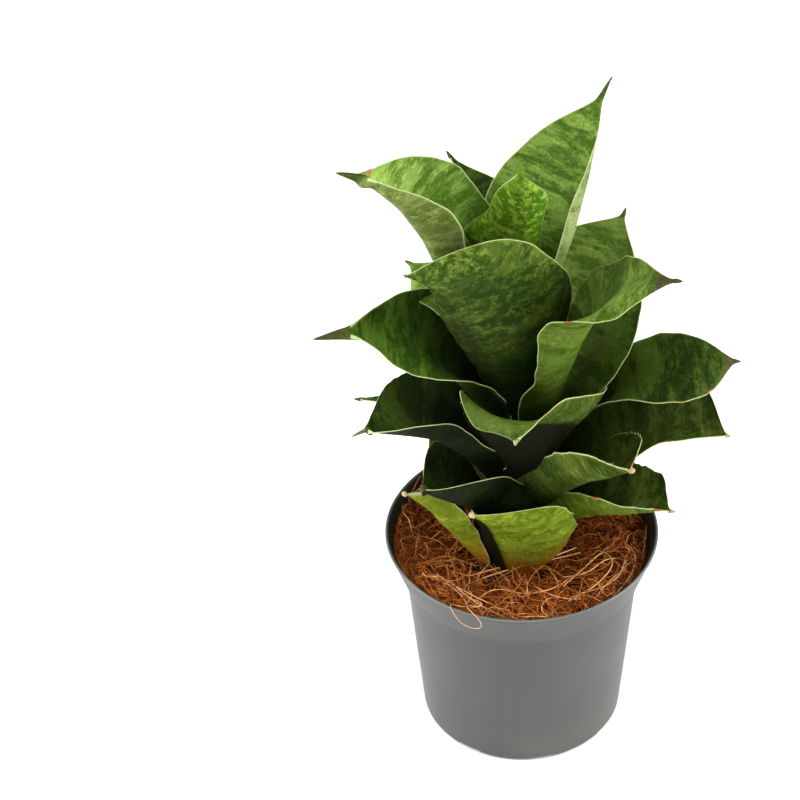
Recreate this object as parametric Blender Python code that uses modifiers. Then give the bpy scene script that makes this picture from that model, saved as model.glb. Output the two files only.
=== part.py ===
"""Potted snake plant: a stacked rosette of broad fleshy leaves in a round plastic nursery pot.

Each leaf is one blade that clasps the stem as a cone and then opens into its own curve. The
stem stands in a socket of the coir, and the coir fills the pot to just under its rim. The
origin is on the pot's axis, in the plane that the pot stands on, with +Z up.
"""

from math import cos, hypot, pi, radians, sin, tau

import bmesh
import bpy
from mathutils import Matrix, Vector

# Every length below is in millimetres, and this turns it into Blender's metres.
MM = 0.001

# The pot is a tapered injection-moulded shell with a flared collar.
POT_HEIGHT = 100.0
RIM_RADIUS = 60.0
COLLAR_HEIGHT = 19.5
COLLAR_FOOT_RADIUS = 53.5
COLLAR_STEP = 1.9
FOOT_RADIUS = 44.6
WALL = 1.3
FLOOR = 1.6
FOOT_ROUND = 2.4
FOOT_WIDTH = 7.0
PAD_RADIUS = 24.0
GUTTER_DEPTH = 1.4
SLOT_COUNT = 8
SLOT_WIDTH = 12.0
SLOT_HEIGHT = 2.2
SLOT_AZIMUTH = -77.0
DRAIN_RADIUS = 3.0
CUTTER_OVERSHOOT = 2.0
ROUND_STEPS = 4
POT_STEPS = 56

# The coir is the growing medium, one block of matted fibre that the pot has shaped.
CLEARANCE = 0.35
COIR_BELOW_RIM = 9.0
COIR_CROWN = 1.0
COIR_CROWN_RADIUS = 38.0
COIR_DIP = 3.0
COIR_DIP_RADIUS = 25.0
COIR_STEPS = 40

# The stem is hidden by the leaves that clasp it.
STEM_BASE_RADIUS = 11.3
STEM_TOP_RADIUS = 3.9
STEM_DEPTH = 26.0
STEM_STUB = 2.0
STEM_STEPS = 20

# The leaves are fleshy along the middle and thin at the margins.
LEAF_THICKNESS = 1.8
MARGIN_SHARE = 0.45
TIP_THINNING = 0.5
TIP_WIDTH = 1.2
MOST_WRAP = 140.0
RIPPLES = 2.2
RIPPLE_START = 0.1
RIPPLE_LAG = 0.37
LEAF_ROWS = 12
LEAF_COLUMNS = 6

# What a leaf has when its own entry doesn't say otherwise.
#   swing, hook      how far the tip's place and the tip's heading have turned from the base
#   off              how far the base has been pushed out from the stem by younger leaves
#   pull             how far the base's and the tip's directions carry, as shares of the length
#   lop              how much more the counter-clockwise half is cupped, in degrees
#   broad_at         where the leaf is widest, as a share of its length
#   base_share       width of the base, as a share of the full width
#   point            how drawn out the tip is
#   clasp            the share of the length over which the sheath opens into the blade
#   halves           widths of the clockwise and counter-clockwise halves, as shares
#   roll             turn about the midrib at the base, the middle and the tip
#   ripple           how far the margins wave in and out
PLAIN_LEAF = dict(
    swing=0, hook=0, off=0, pull=(0.38, 0.38), lop=0, broad_at=0.45, base_share=0.45,
    point=1.4, clasp=0.45, halves=(1, 1), roll=(0, 0, 0), ripple=0,
)

# The leaves from the coir up, with azimuth 0 at +X and counter-clockwise seen from above.
#   node, tip        heights of the base and of the tip above the coir at the stem
#   reach            distance of the tip from the pot's axis
#   lean             angle from the vertical at the base and at the tip
#   width            full width, pressed flat
#   cup              turn of each half from the midrib to the margin, at the middle and the tip
LEAVES = {
    "base_leaf_left": dict(
        azimuth=200, node=1, off=7, reach=54, tip=48, lean=(38, 50), width=56, cup=(80, 30),
        broad_at=0.5, base_share=0.45, halves=(0.7, 0.8)
    ),
    "base_leaf_back": dict(
        azimuth=80, node=1.5, off=2.5, reach=66, tip=24, lean=(55, 80), width=52, cup=(45, 20)
    ),
    "base_leaf_front": dict(
        azimuth=-106, swing=-14, node=1, off=5, reach=43, tip=52, lean=(31, 50), width=74,
        cup=(72, 50), lop=12, broad_at=0.6, base_share=0.55, point=0.9, halves=(0.27, 0.9)
    ),
    "base_leaf_back_left": dict(
        azimuth=126, node=8, reach=72, tip=32, lean=(44, 85), width=50, cup=(40, 20),
        halves=(1, 0.9)
    ),
    "base_leaf_right": dict(
        azimuth=-18, node=13, reach=69, tip=40, lean=(36, 88), width=64, cup=(75, 30), lop=-20,
        broad_at=0.5, point=1.3, halves=(0.8, 0.8)
    ),
    "lower_leaf_left": dict(
        azimuth=206, swing=-4, node=14, reach=47, tip=49, lean=(33, 75), width=80, cup=(85, 60),
        lop=28, broad_at=0.7, point=0.8, clasp=0.7, halves=(0.7, 0.9)
    ),
    "lower_leaf_back_right": dict(
        azimuth=60, node=18, reach=80, tip=50, lean=(42, 90), width=54, cup=(45, 20),
        halves=(0.85, 1)
    ),
    "lower_leaf_front_right": dict(
        azimuth=-45, node=25, reach=65, tip=84, lean=(24, 50), width=66, cup=(75, 30), lop=-30,
        broad_at=0.6, point=1, halves=(0.5, 0.5)
    ),
    "lower_leaf_back_left": dict(
        azimuth=152, node=27, reach=84, tip=53, lean=(20, 110), pull=(0.5, 0.4), width=40,
        cup=(40, 20), halves=(0.8, 0.35)
    ),
    "lower_leaf_back": dict(
        azimuth=88, node=31, reach=82, tip=77, lean=(34, 85), width=56, cup=(45, 20),
        halves=(1, 0.38)
    ),
    "middle_leaf_left": dict(
        azimuth=188, node=37, reach=73, tip=72, lean=(28, 120), pull=(0.55, 0.4),
        width=62, cup=(50, 30), lop=25, broad_at=0.6, point=1.2, halves=(0.85, 1)
    ),
    "lower_leaf_right": dict(
        azimuth=-6, node=40, reach=89, tip=72, lean=(38, 95), pull=(0.5, 0.4), width=60,
        cup=(62, 30), lop=20, broad_at=0.65, point=1, halves=(0.38, 0.74)
    ),
    "middle_leaf_back": dict(
        azimuth=80, node=43, reach=80, tip=112, lean=(42, 85), width=60, cup=(45, 20)
    ),
    "middle_leaf_front": dict(
        azimuth=-84, swing=-9, node=47.5, off=2.1, reach=51, tip=101, lean=(36, 125),
        pull=(0.55, 0.4), width=74, cup=(58, 30), lop=-10, broad_at=0.55, point=1,
        halves=(0.72, 0.9)
    ),
    "middle_leaf_right": dict(
        azimuth=2, node=56, reach=92, tip=102, lean=(35, 100), pull=(0.45, 0.4), width=70,
        cup=(30, 15), lop=25, broad_at=0.55, point=1.1, clasp=0.55, halves=(0.52, 0.66)
    ),
    "upper_leaf_back_right": dict(
        azimuth=40, swing=8, node=62.5, off=1.2, reach=66, tip=149, lean=(32, 40), width=72,
        cup=(40, 20), broad_at=0.5, point=1.2, halves=(1, 0.95)
    ),
    "upper_leaf_left": dict(
        azimuth=190, node=63, reach=87, tip=128, lean=(22, 95), pull=(0.55, 0.4),
        width=68, cup=(42, 20), lop=-8, point=1.6, clasp=0.95, halves=(0.8, 0.48)
    ),
    "upper_leaf_right": dict(
        azimuth=-24, node=70, off=1.3, reach=70, tip=167, lean=(18, 78), pull=(0.5, 0.35),
        width=62, cup=(60, 20), halves=(0.9, 0.8), ripple=3
    ),
    "upper_leaf_back_left": dict(
        azimuth=143, node=75, reach=62, tip=130, lean=(20, 85), pull=(0.5, 0.4), width=56,
        cup=(45, 20), halves=(0.9, 0.35)
    ),
    "upper_leaf_front": dict(
        azimuth=238, swing=-34, hook=6, node=80, off=1.9, reach=52, tip=165, lean=(20, 75),
        pull=(0.45, 0.3), width=84, cup=(60, 30), broad_at=0.6, point=1.1, halves=(0.25, 1.15),
        roll=(0, 58, 30)
    ),
    "crown_leaf_back_left": dict(
        azimuth=143, node=90, reach=50, tip=162, lean=(22, 38), width=68, cup=(50, 25),
        halves=(1, 0.7)
    ),
    "crown_leaf_left": dict(
        azimuth=188, node=100, off=1.1, reach=74, tip=207, lean=(32, 75), pull=(0.4, 0.3), width=64,
        cup=(88, 30), broad_at=0.45, halves=(0.85, 0.8)
    ),
    "crown_leaf_back": dict(
        azimuth=113, swing=13, node=108, reach=53, tip=182, lean=(26, 52), width=34,
        cup=(40, 20), halves=(1, 0.45)
    ),
    "crown_leaf_back_right": dict(
        azimuth=66, swing=-13, node=115, reach=62, tip=214, lean=(15, 42), width=58, cup=(65, 35),
        lop=-35, broad_at=0.45, halves=(1.05, 0.8)
    ),
    "heart_leaf": dict(
        azimuth=-130, swing=38, hook=-20, node=130, reach=6, tip=209, lean=(5, -4), width=48,
        cup=(68, 35), broad_at=0.32, base_share=0.6, point=1.2, halves=(1.15, 0.75)
    ),
}


def arc(centre_r, centre_z, radius, start, end):
    """Points of a profile's rounded corner, as (distance from the axis, height)."""
    angles = [radians(start + (end - start) * step / ROUND_STEPS) for step in range(ROUND_STEPS + 1)]
    return [(centre_r + radius * cos(angle), centre_z + radius * sin(angle)) for angle in angles]


def material(name, colour, roughness):
    made = bpy.data.materials.new(name)
    made.use_nodes = True
    shader = made.node_tree.nodes["Principled BSDF"]
    shader.inputs["Base Color"].default_value = (*colour, 1)
    shader.inputs["Roughness"].default_value = roughness
    shader.inputs["Metallic"].default_value = 0
    return made


def add(name, mesh, collection):
    made = bpy.data.objects.new(name, mesh)
    collection.objects.link(made)
    return made


def finish(piece, colour, roughness):
    piece.data.materials.append(material(piece.name, colour, roughness))
    piece.data.shade_smooth()
    piece.data.set_sharp_from_angle(angle=radians(40))


def turned(name, profile, steps, collection):
    """A piece turned from a profile that ends on the axis at both ends."""
    mesh = bpy.data.meshes.new(name)
    points = [(r * MM, 0, z * MM) for r, z in profile]
    mesh.from_pydata(points, [(i, i + 1) for i in range(len(points) - 1)], [])
    piece = add(name, mesh, collection)
    screw = piece.modifiers.new("Turn", "SCREW")
    screw.axis = "Z"
    screw.steps = steps
    screw.render_steps = steps
    screw.use_merge_vertices = True
    screw.merge_threshold = 0.00001
    return piece


def cut(piece, cutter):
    cutter.hide_render = True
    cutter.display_type = "WIRE"
    boolean = piece.modifiers.new(f"Cut {cutter.name}", "BOOLEAN")
    boolean.operation = "DIFFERENCE"
    boolean.solver = "EXACT"
    boolean.object = cutter


# Pot ----------------------------------------------------------------------------------------

body_top_radius = COLLAR_FOOT_RADIUS - COLLAR_STEP
collar_foot = POT_HEIGHT - COLLAR_HEIGHT
ledge = collar_foot + WALL
floor_top = GUTTER_DEPTH + FLOOR
gutter_radius = FOOT_RADIUS - FOOT_WIDTH
lip = WALL / 2


def body_radius(height):
    """Outer radius of the pot below its collar."""
    return FOOT_RADIUS + (body_top_radius - FOOT_RADIUS) * height / collar_foot


def collar_radius(height):
    """Outer radius of the pot's collar."""
    return COLLAR_FOOT_RADIUS + (RIM_RADIUS - COLLAR_FOOT_RADIUS) * (height - collar_foot) / COLLAR_HEIGHT


def pot_profile():
    return [
        (0, floor_top),
        (body_radius(floor_top) - WALL, floor_top),
        (body_radius(ledge) - WALL, ledge),
        (collar_radius(ledge) - WALL, ledge),
        *reversed(arc(RIM_RADIUS - lip, POT_HEIGHT - lip, lip, 0, 180)),
        (COLLAR_FOOT_RADIUS, collar_foot),
        (body_top_radius, collar_foot),
        *reversed(arc(FOOT_RADIUS - FOOT_ROUND, FOOT_ROUND, FOOT_ROUND, -90, 0)),
        (gutter_radius, 0),
        (gutter_radius - GUTTER_DEPTH, GUTTER_DEPTH),
        (PAD_RADIUS + GUTTER_DEPTH, GUTTER_DEPTH),
        (PAD_RADIUS, 0),
        (0, 0),
    ]


def around(count, start):
    """A turn about the pot's axis for each of so many evenly spaced copies."""
    return [Matrix.Rotation(radians(start) + tau * index / count, 4, "Z") for index in range(count)]


def slot_cutter(collection):
    """Notches through the foot, which let water out from under the standing pot."""
    shape = bmesh.new()
    length = FOOT_WIDTH + 2 * CUTTER_OVERSHOOT
    height = SLOT_HEIGHT + CUTTER_OVERSHOOT
    for turn in around(SLOT_COUNT, SLOT_AZIMUTH):
        middle = Vector((gutter_radius + FOOT_WIDTH / 2, 0, SLOT_HEIGHT - height / 2)) * MM
        size = Matrix.Diagonal((length * MM, SLOT_WIDTH * MM, height * MM, 1))
        bmesh.ops.create_cube(shape, size=1, matrix=turn @ Matrix.Translation(middle) @ size)
    mesh = bpy.data.meshes.new("drain_slots")
    shape.to_mesh(mesh)
    shape.free()
    return add("drain_slots", mesh, collection)


def drain_cutter(collection):
    """Holes through the floor of the gutter, one in line with each slot."""
    shape = bmesh.new()
    middle = Vector(((PAD_RADIUS + gutter_radius) / 2, 0, floor_top / 2)) * MM
    for turn in around(SLOT_COUNT, SLOT_AZIMUTH):
        bmesh.ops.create_cone(
            shape, cap_ends=True, segments=12, radius1=DRAIN_RADIUS * MM, radius2=DRAIN_RADIUS * MM,
            depth=(floor_top + 2 * CUTTER_OVERSHOOT) * MM, matrix=turn @ Matrix.Translation(middle),
        )
    mesh = bpy.data.meshes.new("drain_holes")
    shape.to_mesh(mesh)
    shape.free()
    return add("drain_holes", mesh, collection)


def make_pot(parts, cutters):
    pot = turned("pot", pot_profile(), POT_STEPS, parts)
    cut(pot, slot_cutter(cutters))
    cut(pot, drain_cutter(cutters))
    finish(pot, (0.17, 0.18, 0.17), 0.45)


# Coir and stem ------------------------------------------------------------------------------

coir_edge = POT_HEIGHT - COIR_BELOW_RIM
coir_at_stem = coir_edge - COIR_DIP
stem_height = STEM_STUB + max(leaf["node"] for leaf in LEAVES.values())


def stem_radius(height):
    """Radius of the stem so far above the coir."""
    return STEM_BASE_RADIUS + (STEM_TOP_RADIUS - STEM_BASE_RADIUS) * height / stem_height


def make_coir(parts):
    inset = WALL + CLEARANCE
    socket_radius = STEM_BASE_RADIUS + CLEARANCE
    socket_floor = coir_at_stem - STEM_DEPTH - CLEARANCE
    bottom = floor_top + CLEARANCE
    step = ledge + CLEARANCE
    profile = [
        (0, socket_floor),
        (socket_radius, socket_floor),
        (socket_radius, coir_at_stem),
        (COIR_DIP_RADIUS, coir_at_stem),
        (COIR_CROWN_RADIUS, coir_edge + COIR_CROWN),
        (collar_radius(coir_edge) - inset, coir_edge),
        (collar_radius(step) - inset, step),
        (body_radius(step) - inset, step),
        (body_radius(bottom) - inset, bottom),
        (0, bottom),
    ]
    finish(turned("coir", profile, COIR_STEPS, parts), (0.20, 0.072, 0.022), 0.95)


def make_stem(parts):
    top = coir_at_stem + stem_height
    rounding = STEM_TOP_RADIUS / 2
    profile = [
        (0, top),
        (STEM_TOP_RADIUS - rounding, top),
        (STEM_TOP_RADIUS, top - rounding),
        (STEM_BASE_RADIUS, coir_at_stem),
        (STEM_BASE_RADIUS, coir_at_stem - STEM_DEPTH),
        (0, coir_at_stem - STEM_DEPTH),
    ]
    finish(turned("stem", profile, STEM_STEPS, parts), (0.12, 0.16, 0.04), 0.6)


# Leaves -------------------------------------------------------------------------------------


def heading(azimuth, lean=90.0):
    """Unit vector at this azimuth, leaning so far from the vertical."""
    azimuth, lean = radians(azimuth), radians(lean)
    return Vector((sin(lean) * cos(azimuth), sin(lean) * sin(azimuth), cos(lean)))


def eased(share):
    """0 to 1 with level ends."""
    share = min(max(share, 0), 1)
    return share * share * (3 - 2 * share)


def through(values, along):
    """Smooth value that passes through one at the base, one at the middle and one at the tip."""
    base, middle, tip = values
    rest = 1 - along
    return base * rest * (1 - 2 * along) + 4 * middle * along * rest + tip * along * (2 * along - 1)


def midrib(leaf, along):
    """The midrib's point there, and the directions along it, across it and out of its inner face."""
    tip_azimuth = leaf["azimuth"] + leaf["swing"]
    tip_heading = leaf["azimuth"] + 2 * leaf["swing"] + leaf["hook"]
    against_stem = stem_radius(leaf["node"]) + CLEARANCE + LEAF_THICKNESS / 2
    base = heading(leaf["azimuth"]) * (against_stem + leaf["off"])
    base.z = coir_at_stem + leaf["node"]
    tip = heading(tip_azimuth) * leaf["reach"]
    tip.z = coir_at_stem + leaf["tip"]
    length = (tip - base).length
    after_base = base + heading(leaf["azimuth"], leaf["lean"][0]) * length * leaf["pull"][0]
    before_tip = tip - heading(tip_heading, leaf["lean"][1]) * length * leaf["pull"][1]
    first = base.lerp(after_base, along)
    second = after_base.lerp(before_tip, along)
    third = before_tip.lerp(tip, along)
    before, after = first.lerp(second, along), second.lerp(third, along)
    point = before.lerp(after, along)
    forward = (after - before).normalized()
    across = heading(leaf["azimuth"] + (tip_heading - leaf["azimuth"]) * along + 90)
    across = (across - forward * across.dot(forward)).normalized()
    across.rotate(Matrix.Rotation(radians(through(leaf["roll"], along)), 3, forward))
    return point, across, forward.cross(across)


def outline(leaf, along):
    """The leaf's width there, as a share of its full width."""
    broad = leaf["broad_at"]
    if along < broad:
        return leaf["base_share"] + (1 - leaf["base_share"]) * sin(pi / 2 * along / broad)
    past = (along - broad) / (1 - broad)
    return (1 - past) ** leaf["point"] * (1 + leaf["point"] * past)


def leaf_point(leaf, along, side):
    """Where the leaf's middle surface is, with side from -1 at the clockwise margin to 1 at the other."""
    point, across, inward = midrib(leaf, along)
    half = 0 if side < 0 else 1
    sign = 2 * half - 1
    half_width = max(leaf["width"] / 2 * outline(leaf, along) * leaf["halves"][half], TIP_WIDTH / 2)
    wrap = min(half_width / max(hypot(point.x, point.y), TIP_WIDTH), radians(MOST_WRAP))
    cup = leaf["cup"][0] + (leaf["cup"][1] - leaf["cup"][0]) * max(2 * along - 1, 0)
    opened = eased(along / leaf["clasp"])
    turn = wrap * (1 - opened) + radians(cup) * opened + sign * radians(leaf["lop"]) * sin(pi * along)
    out = abs(side)
    sideways = half_width * sin(turn * out) / turn
    inwards = half_width * (1 - cos(turn * out)) / turn
    fade = min(1, 4 * along) * min(1, 4 * (1 - along))
    wave = sin(tau * (RIPPLES * along + RIPPLE_START + RIPPLE_LAG * half))
    inwards += leaf["ripple"] * wave * fade * out**2.5
    return point + sign * sideways * across + inwards * inward


def make_leaf(name, leaf, parts):
    """A flat grid, moved onto the leaf's middle surface and thickened to both sides of it."""
    shape = bmesh.new()
    bmesh.ops.create_grid(shape, x_segments=LEAF_COLUMNS, y_segments=LEAF_ROWS, size=1)
    flesh = {}
    for vertex in shape.verts:
        side, along = vertex.co.x, (vertex.co.y + 1) / 2
        flesh[vertex.index] = (1 - side**2) * (1 - TIP_THINNING * along)
        vertex.co = leaf_point(leaf, along, side) * MM
    mesh = bpy.data.meshes.new(name)
    shape.to_mesh(mesh)
    shape.free()
    piece = add(name, mesh, parts)
    group = piece.vertex_groups.new(name="flesh")
    for index, weight in flesh.items():
        group.add([index], weight, "REPLACE")
    solidify = piece.modifiers.new("Flesh", "SOLIDIFY")
    solidify.thickness = LEAF_THICKNESS * MM
    solidify.offset = 0
    solidify.vertex_group = group.name
    solidify.thickness_vertex_group = MARGIN_SHARE
    finish(piece, (0.045, 0.105, 0.022), 0.4)


def main():
    for old in list(bpy.data.objects):
        bpy.data.objects.remove(old)
    parts = bpy.data.collections.new("potted_snake_plant")
    cutters = bpy.data.collections.new("cutters")
    for collection in (parts, cutters):
        bpy.context.scene.collection.children.link(collection)
    make_pot(parts, cutters)
    make_coir(parts)
    make_stem(parts)
    for name, leaf in LEAVES.items():
        make_leaf(name, PLAIN_LEAF | leaf, parts)


main()
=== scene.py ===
"""Potted snake plant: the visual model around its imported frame, in metres, with +Z up.

The pot is made first, then the coir that fills it, the stem, and the leaves from the coir up.
"""

from functools import partial, reduce
from math import cos, exp, hypot, pi, radians, sin, tau

import bmesh
import bpy
import numpy as np
from mathutils import Matrix, Vector, noise


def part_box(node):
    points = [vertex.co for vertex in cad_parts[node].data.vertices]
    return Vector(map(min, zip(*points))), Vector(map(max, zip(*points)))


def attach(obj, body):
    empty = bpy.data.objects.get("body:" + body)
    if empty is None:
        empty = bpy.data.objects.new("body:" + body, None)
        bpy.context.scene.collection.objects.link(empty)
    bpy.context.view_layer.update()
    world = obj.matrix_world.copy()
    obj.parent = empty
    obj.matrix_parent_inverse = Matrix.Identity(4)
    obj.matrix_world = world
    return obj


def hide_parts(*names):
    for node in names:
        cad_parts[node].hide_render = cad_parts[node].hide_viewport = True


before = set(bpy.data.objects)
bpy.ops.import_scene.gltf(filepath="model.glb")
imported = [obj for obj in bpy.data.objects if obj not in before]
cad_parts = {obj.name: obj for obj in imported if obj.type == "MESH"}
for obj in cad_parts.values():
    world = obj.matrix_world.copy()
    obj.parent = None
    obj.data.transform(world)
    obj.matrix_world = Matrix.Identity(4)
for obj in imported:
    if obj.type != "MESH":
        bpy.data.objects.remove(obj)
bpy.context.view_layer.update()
scene = bpy.context.scene

# Camera -------------------------------------------------------------------------------------
# A long lens looks down on the plant from the front. It aims a little past the plant's left
# side, so that the plant stands right of the middle of the picture.

VIEW_TARGET = Vector((0, 0, 0.15))
VIEW_ELEVATION = radians(39.5)
VIEW_DISTANCE = 1.2
LENS = 125.9
AIM_LEFT = 0.0521
AIM_UP = 0.0172

back = Vector((0, -cos(VIEW_ELEVATION), sin(VIEW_ELEVATION)))
right = Vector((1, 0, 0))
up = back.cross(right)
eye = VIEW_TARGET + back * VIEW_DISTANCE
aim = VIEW_TARGET - right * AIM_LEFT + up * AIM_UP
depth = (eye - aim).normalized()
level = (right - depth * right.dot(depth)).normalized()
camera = bpy.data.objects.new("camera", bpy.data.cameras.new("camera"))
camera.data.lens = LENS
camera.matrix_world = Matrix.Translation(eye) @ Matrix((level, depth.cross(level), depth)).transposed().to_4x4()
scene.collection.objects.link(camera)
scene.camera = camera


# Pot ----------------------------------------------------------------------------------------
# A thin injection-moulded nursery pot in satin grey plastic, with a flared collar. It has a
# rounded lip, and a foot ring with notches and holes that let the water out.

MM = 0.001
LIP_RADIUS = 0.65
COLLAR_HEIGHT = 19.5
COLLAR_FOOT_RADIUS = 53.5
COLLAR_STEP = 1.9
FOOT_RADIUS = 44.6
FOOT_ROUND = 2.4
FOOT_WIDTH = 7.0
WALL = 1.3
FLOOR = 1.6
FLOOR_FILLET = 2.0
PAD_RADIUS = 24.0
GUTTER_DEPTH = 1.4
LEDGE_CHAMFER = 0.3
SHOULDER = 0.8
NECK = 0.5
SLOT_COUNT = 8
SLOT_WIDTH = 12.0
SLOT_HEIGHT = 2.2
SLOT_AZIMUTH = -77.0
DRAIN_RADIUS = 3.0
CUTTER_OVERSHOOT = 2.0
POT_STEPS = 224
SEAM_HEIGHT = 79.8
SEAM_MIDDLE = 4.0
GATE = (6.2, -53.8, 79.5)

pot_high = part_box("pot")[1]
pot_height = pot_high.z / MM
rim_radius = pot_high.x / MM
body_top_radius = COLLAR_FOOT_RADIUS - COLLAR_STEP
collar_foot = pot_height - COLLAR_HEIGHT
ledge = collar_foot + WALL
floor_top = GUTTER_DEPTH + FLOOR
gutter_radius = FOOT_RADIUS - FOOT_WIDTH


def give(socket, value):
    """Feeds a socket from another one, or sets its value. Colours are opaque."""
    if isinstance(value, bpy.types.NodeSocket):
        socket.id_data.links.new(value, socket)
    else:
        socket.default_value = (*value, 1) if socket.type == "RGBA" else value


def node(tree, kind, inputs=None, **settings):
    """A new node with these settings, whose inputs are given as values or as the sockets that feed them."""
    made = tree.nodes.new(kind)
    for name, value in settings.items():
        setattr(made, name, value)
    for socket, value in (inputs or {}).items():
        give(made.inputs[socket], value)
    return made


def mixed(factor, first, second, blend="MIX"):
    """One colour laid over another by a factor."""
    inputs = {0: factor, 6: first, 7: second}
    return node(factor.id_data, "ShaderNodeMix", inputs, data_type="RGBA", blend_type=blend).outputs[2]


def ranged(value, low, high, to_low=0.0, to_high=1.0):
    """A value eased from one range into another."""
    inputs = {"Value": value, "From Min": low, "From Max": high, "To Min": to_low, "To Max": to_high}
    return node(value.id_data, "ShaderNodeMapRange", inputs, interpolation_type="SMOOTHSTEP").outputs["Result"]


def math(operation, *values, kind="ShaderNodeMath"):
    """A sum on values and sockets, at least one of which is a socket."""
    tree = next(value.id_data for value in values if isinstance(value, bpy.types.NodeSocket))
    made = node(tree, kind, dict(enumerate(values)), operation=operation)
    return next(socket for socket in made.outputs if socket.enabled)


vectors = partial(math, kind="ShaderNodeVectorMath")


def times(*values):
    return reduce(partial(math, "MULTIPLY"), values)


def plus(*values):
    return reduce(partial(math, "ADD"), values)


def part(vector, axis):
    return node(vector.id_data, "ShaderNodeSeparateXYZ", {0: vector}).outputs[axis]


def away(value, centre):
    """Distance of a value from this centre."""
    return math("ABSOLUTE", math("SUBTRACT", value, centre))


def grain(vector, scale, detail=2.0, roughness=0.5, distortion=0.0, **more):
    """Noise over a vector. A fourth coordinate, W, makes it 4D noise."""
    inputs = dict(Vector=vector, Scale=scale, Detail=detail, Roughness=roughness, Distortion=distortion, **more)
    dimensions = "4D" if more else "3D"
    return node(vector.id_data, "ShaderNodeTexNoise", inputs, noise_dimensions=dimensions).outputs["Fac"]


def stretched(vector, *scale):
    return node(vector.id_data, "ShaderNodeMapping", {"Vector": vector, "Scale": scale}).outputs[0]


def new_material(name):
    """An empty material and its shader."""
    made = bpy.data.materials.new(name)
    made.use_nodes = True
    return made, made.node_tree.nodes["Principled BSDF"]


def place_on(shader):
    """The object's own coordinates, in metres."""
    return node(shader.id_data, "ShaderNodeTexCoord").outputs["Object"]


def bump(shader, height, distance, strength):
    inputs = {"Height": height, "Distance": distance, "Strength": strength}
    feed(shader, Normal=node(height.id_data, "ShaderNodeBump", inputs).outputs["Normal"])


def feed(shader, **values):
    """Shader inputs, named with _ for a space, from sockets or values."""
    for name, value in values.items():
        give(shader.inputs[name.replace("_", " ")], value)


def add_piece(name, mesh):
    made = bpy.data.objects.new(name, mesh)
    scene.collection.objects.link(made)
    return made


def arc(centre_r, centre_z, radius, start, end, steps=8):
    """Points of a profile's rounded corner, as (distance from the axis, height)."""
    angles = [radians(start + (end - start) * step / steps) for step in range(steps + 1)]
    return [(centre_r + radius * cos(angle), centre_z + radius * sin(angle)) for angle in angles]


def straight(start, end, steps):
    """Evenly spaced points of a straight stretch of a profile, without its ends."""
    return [
        (start[0] + (end[0] - start[0]) * step / steps, start[1] + (end[1] - start[1]) * step / steps)
        for step in range(1, steps)
    ]


def ring_quads(rings, steps):
    """The points of so many rings by number, the next point of each, and the quads between the rings."""
    index = np.arange(rings * steps).reshape(rings, steps)
    after = np.roll(index, -1, axis=1)
    quads = np.stack([index[:-1], index[1:], after[1:], after[:-1]], axis=-1)
    return index, after, quads.reshape(-1, 4).tolist()


def turned(name, profile, steps, shift=None):
    """A closed solid turned from a profile that ends on the axis at both ends. shift moves its points."""
    rings = np.array(profile[1:-1], float)
    turn = np.linspace(0, tau, steps, endpoint=False)
    points = np.empty((len(rings), steps, 3))
    points[..., 0] = rings[:, :1] * np.cos(turn)
    points[..., 1] = rings[:, :1] * np.sin(turn)
    points[..., 2] = rings[:, 1:]
    if shift is not None:
        points = shift(points)
    ends = [(0, 0, profile[0][1]), (0, 0, profile[-1][1])]
    vertices = np.concatenate([points.reshape(-1, 3), ends]) * MM
    index, after, faces = ring_quads(len(rings), steps)
    first, last = len(vertices) - 2, len(vertices) - 1
    faces += [(first, int(a), int(b)) for a, b in zip(index[0], after[0])]
    faces += [(last, int(b), int(a)) for a, b in zip(index[-1], after[-1])]
    mesh = bpy.data.meshes.new(name)
    mesh.from_pydata(vertices.tolist(), [], faces)
    return mesh


def body_radius(height):
    """Outer radius of the pot below its collar."""
    return FOOT_RADIUS + (body_top_radius - FOOT_RADIUS) * height / collar_foot


def collar_radius(height):
    """Outer radius of the pot's collar."""
    return COLLAR_FOOT_RADIUS + (rim_radius - COLLAR_FOOT_RADIUS) * (height - collar_foot) / COLLAR_HEIGHT


def pot_profile():
    inner_floor = (body_radius(floor_top) - WALL - FLOOR_FILLET, floor_top + FLOOR_FILLET)
    below_lip = pot_height - 1
    return [
        (0, floor_top),
        (PAD_RADIUS, floor_top),
        *arc(*inner_floor, FLOOR_FILLET, -90, 0),
        *straight((body_radius(inner_floor[1]) - WALL, inner_floor[1]), (body_radius(ledge) - WALL, ledge), 12),
        (body_radius(ledge) - WALL, ledge - LEDGE_CHAMFER),
        (body_radius(ledge) - WALL + LEDGE_CHAMFER, ledge),
        (collar_radius(ledge) - WALL - 0.2, ledge),
        (collar_radius(ledge) - WALL, ledge + LEDGE_CHAMFER),
        *straight((collar_radius(ledge) - WALL, ledge), (collar_radius(below_lip) - WALL, below_lip), 8),
        *reversed(arc(rim_radius - LIP_RADIUS, pot_height - LIP_RADIUS, LIP_RADIUS, 0, 180, 12)),
        *straight((collar_radius(below_lip), below_lip), (COLLAR_FOOT_RADIUS, collar_foot + SHOULDER), 10),
        *reversed(arc(COLLAR_FOOT_RADIUS - SHOULDER, collar_foot + SHOULDER, SHOULDER, -90, 0, 6)),
        *arc(body_top_radius + NECK, collar_foot - NECK, NECK, 90, 180, 4),
        *straight((body_top_radius, collar_foot - NECK), (body_radius(FOOT_ROUND), FOOT_ROUND), 28),
        *reversed(arc(body_radius(FOOT_ROUND) - FOOT_ROUND, FOOT_ROUND, FOOT_ROUND, -90, 0)),
        (gutter_radius, 0),
        (gutter_radius - GUTTER_DEPTH, GUTTER_DEPTH),
        (PAD_RADIUS + GUTTER_DEPTH, GUTTER_DEPTH),
        (PAD_RADIUS, 0),
        (0, 0),
    ]


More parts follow.
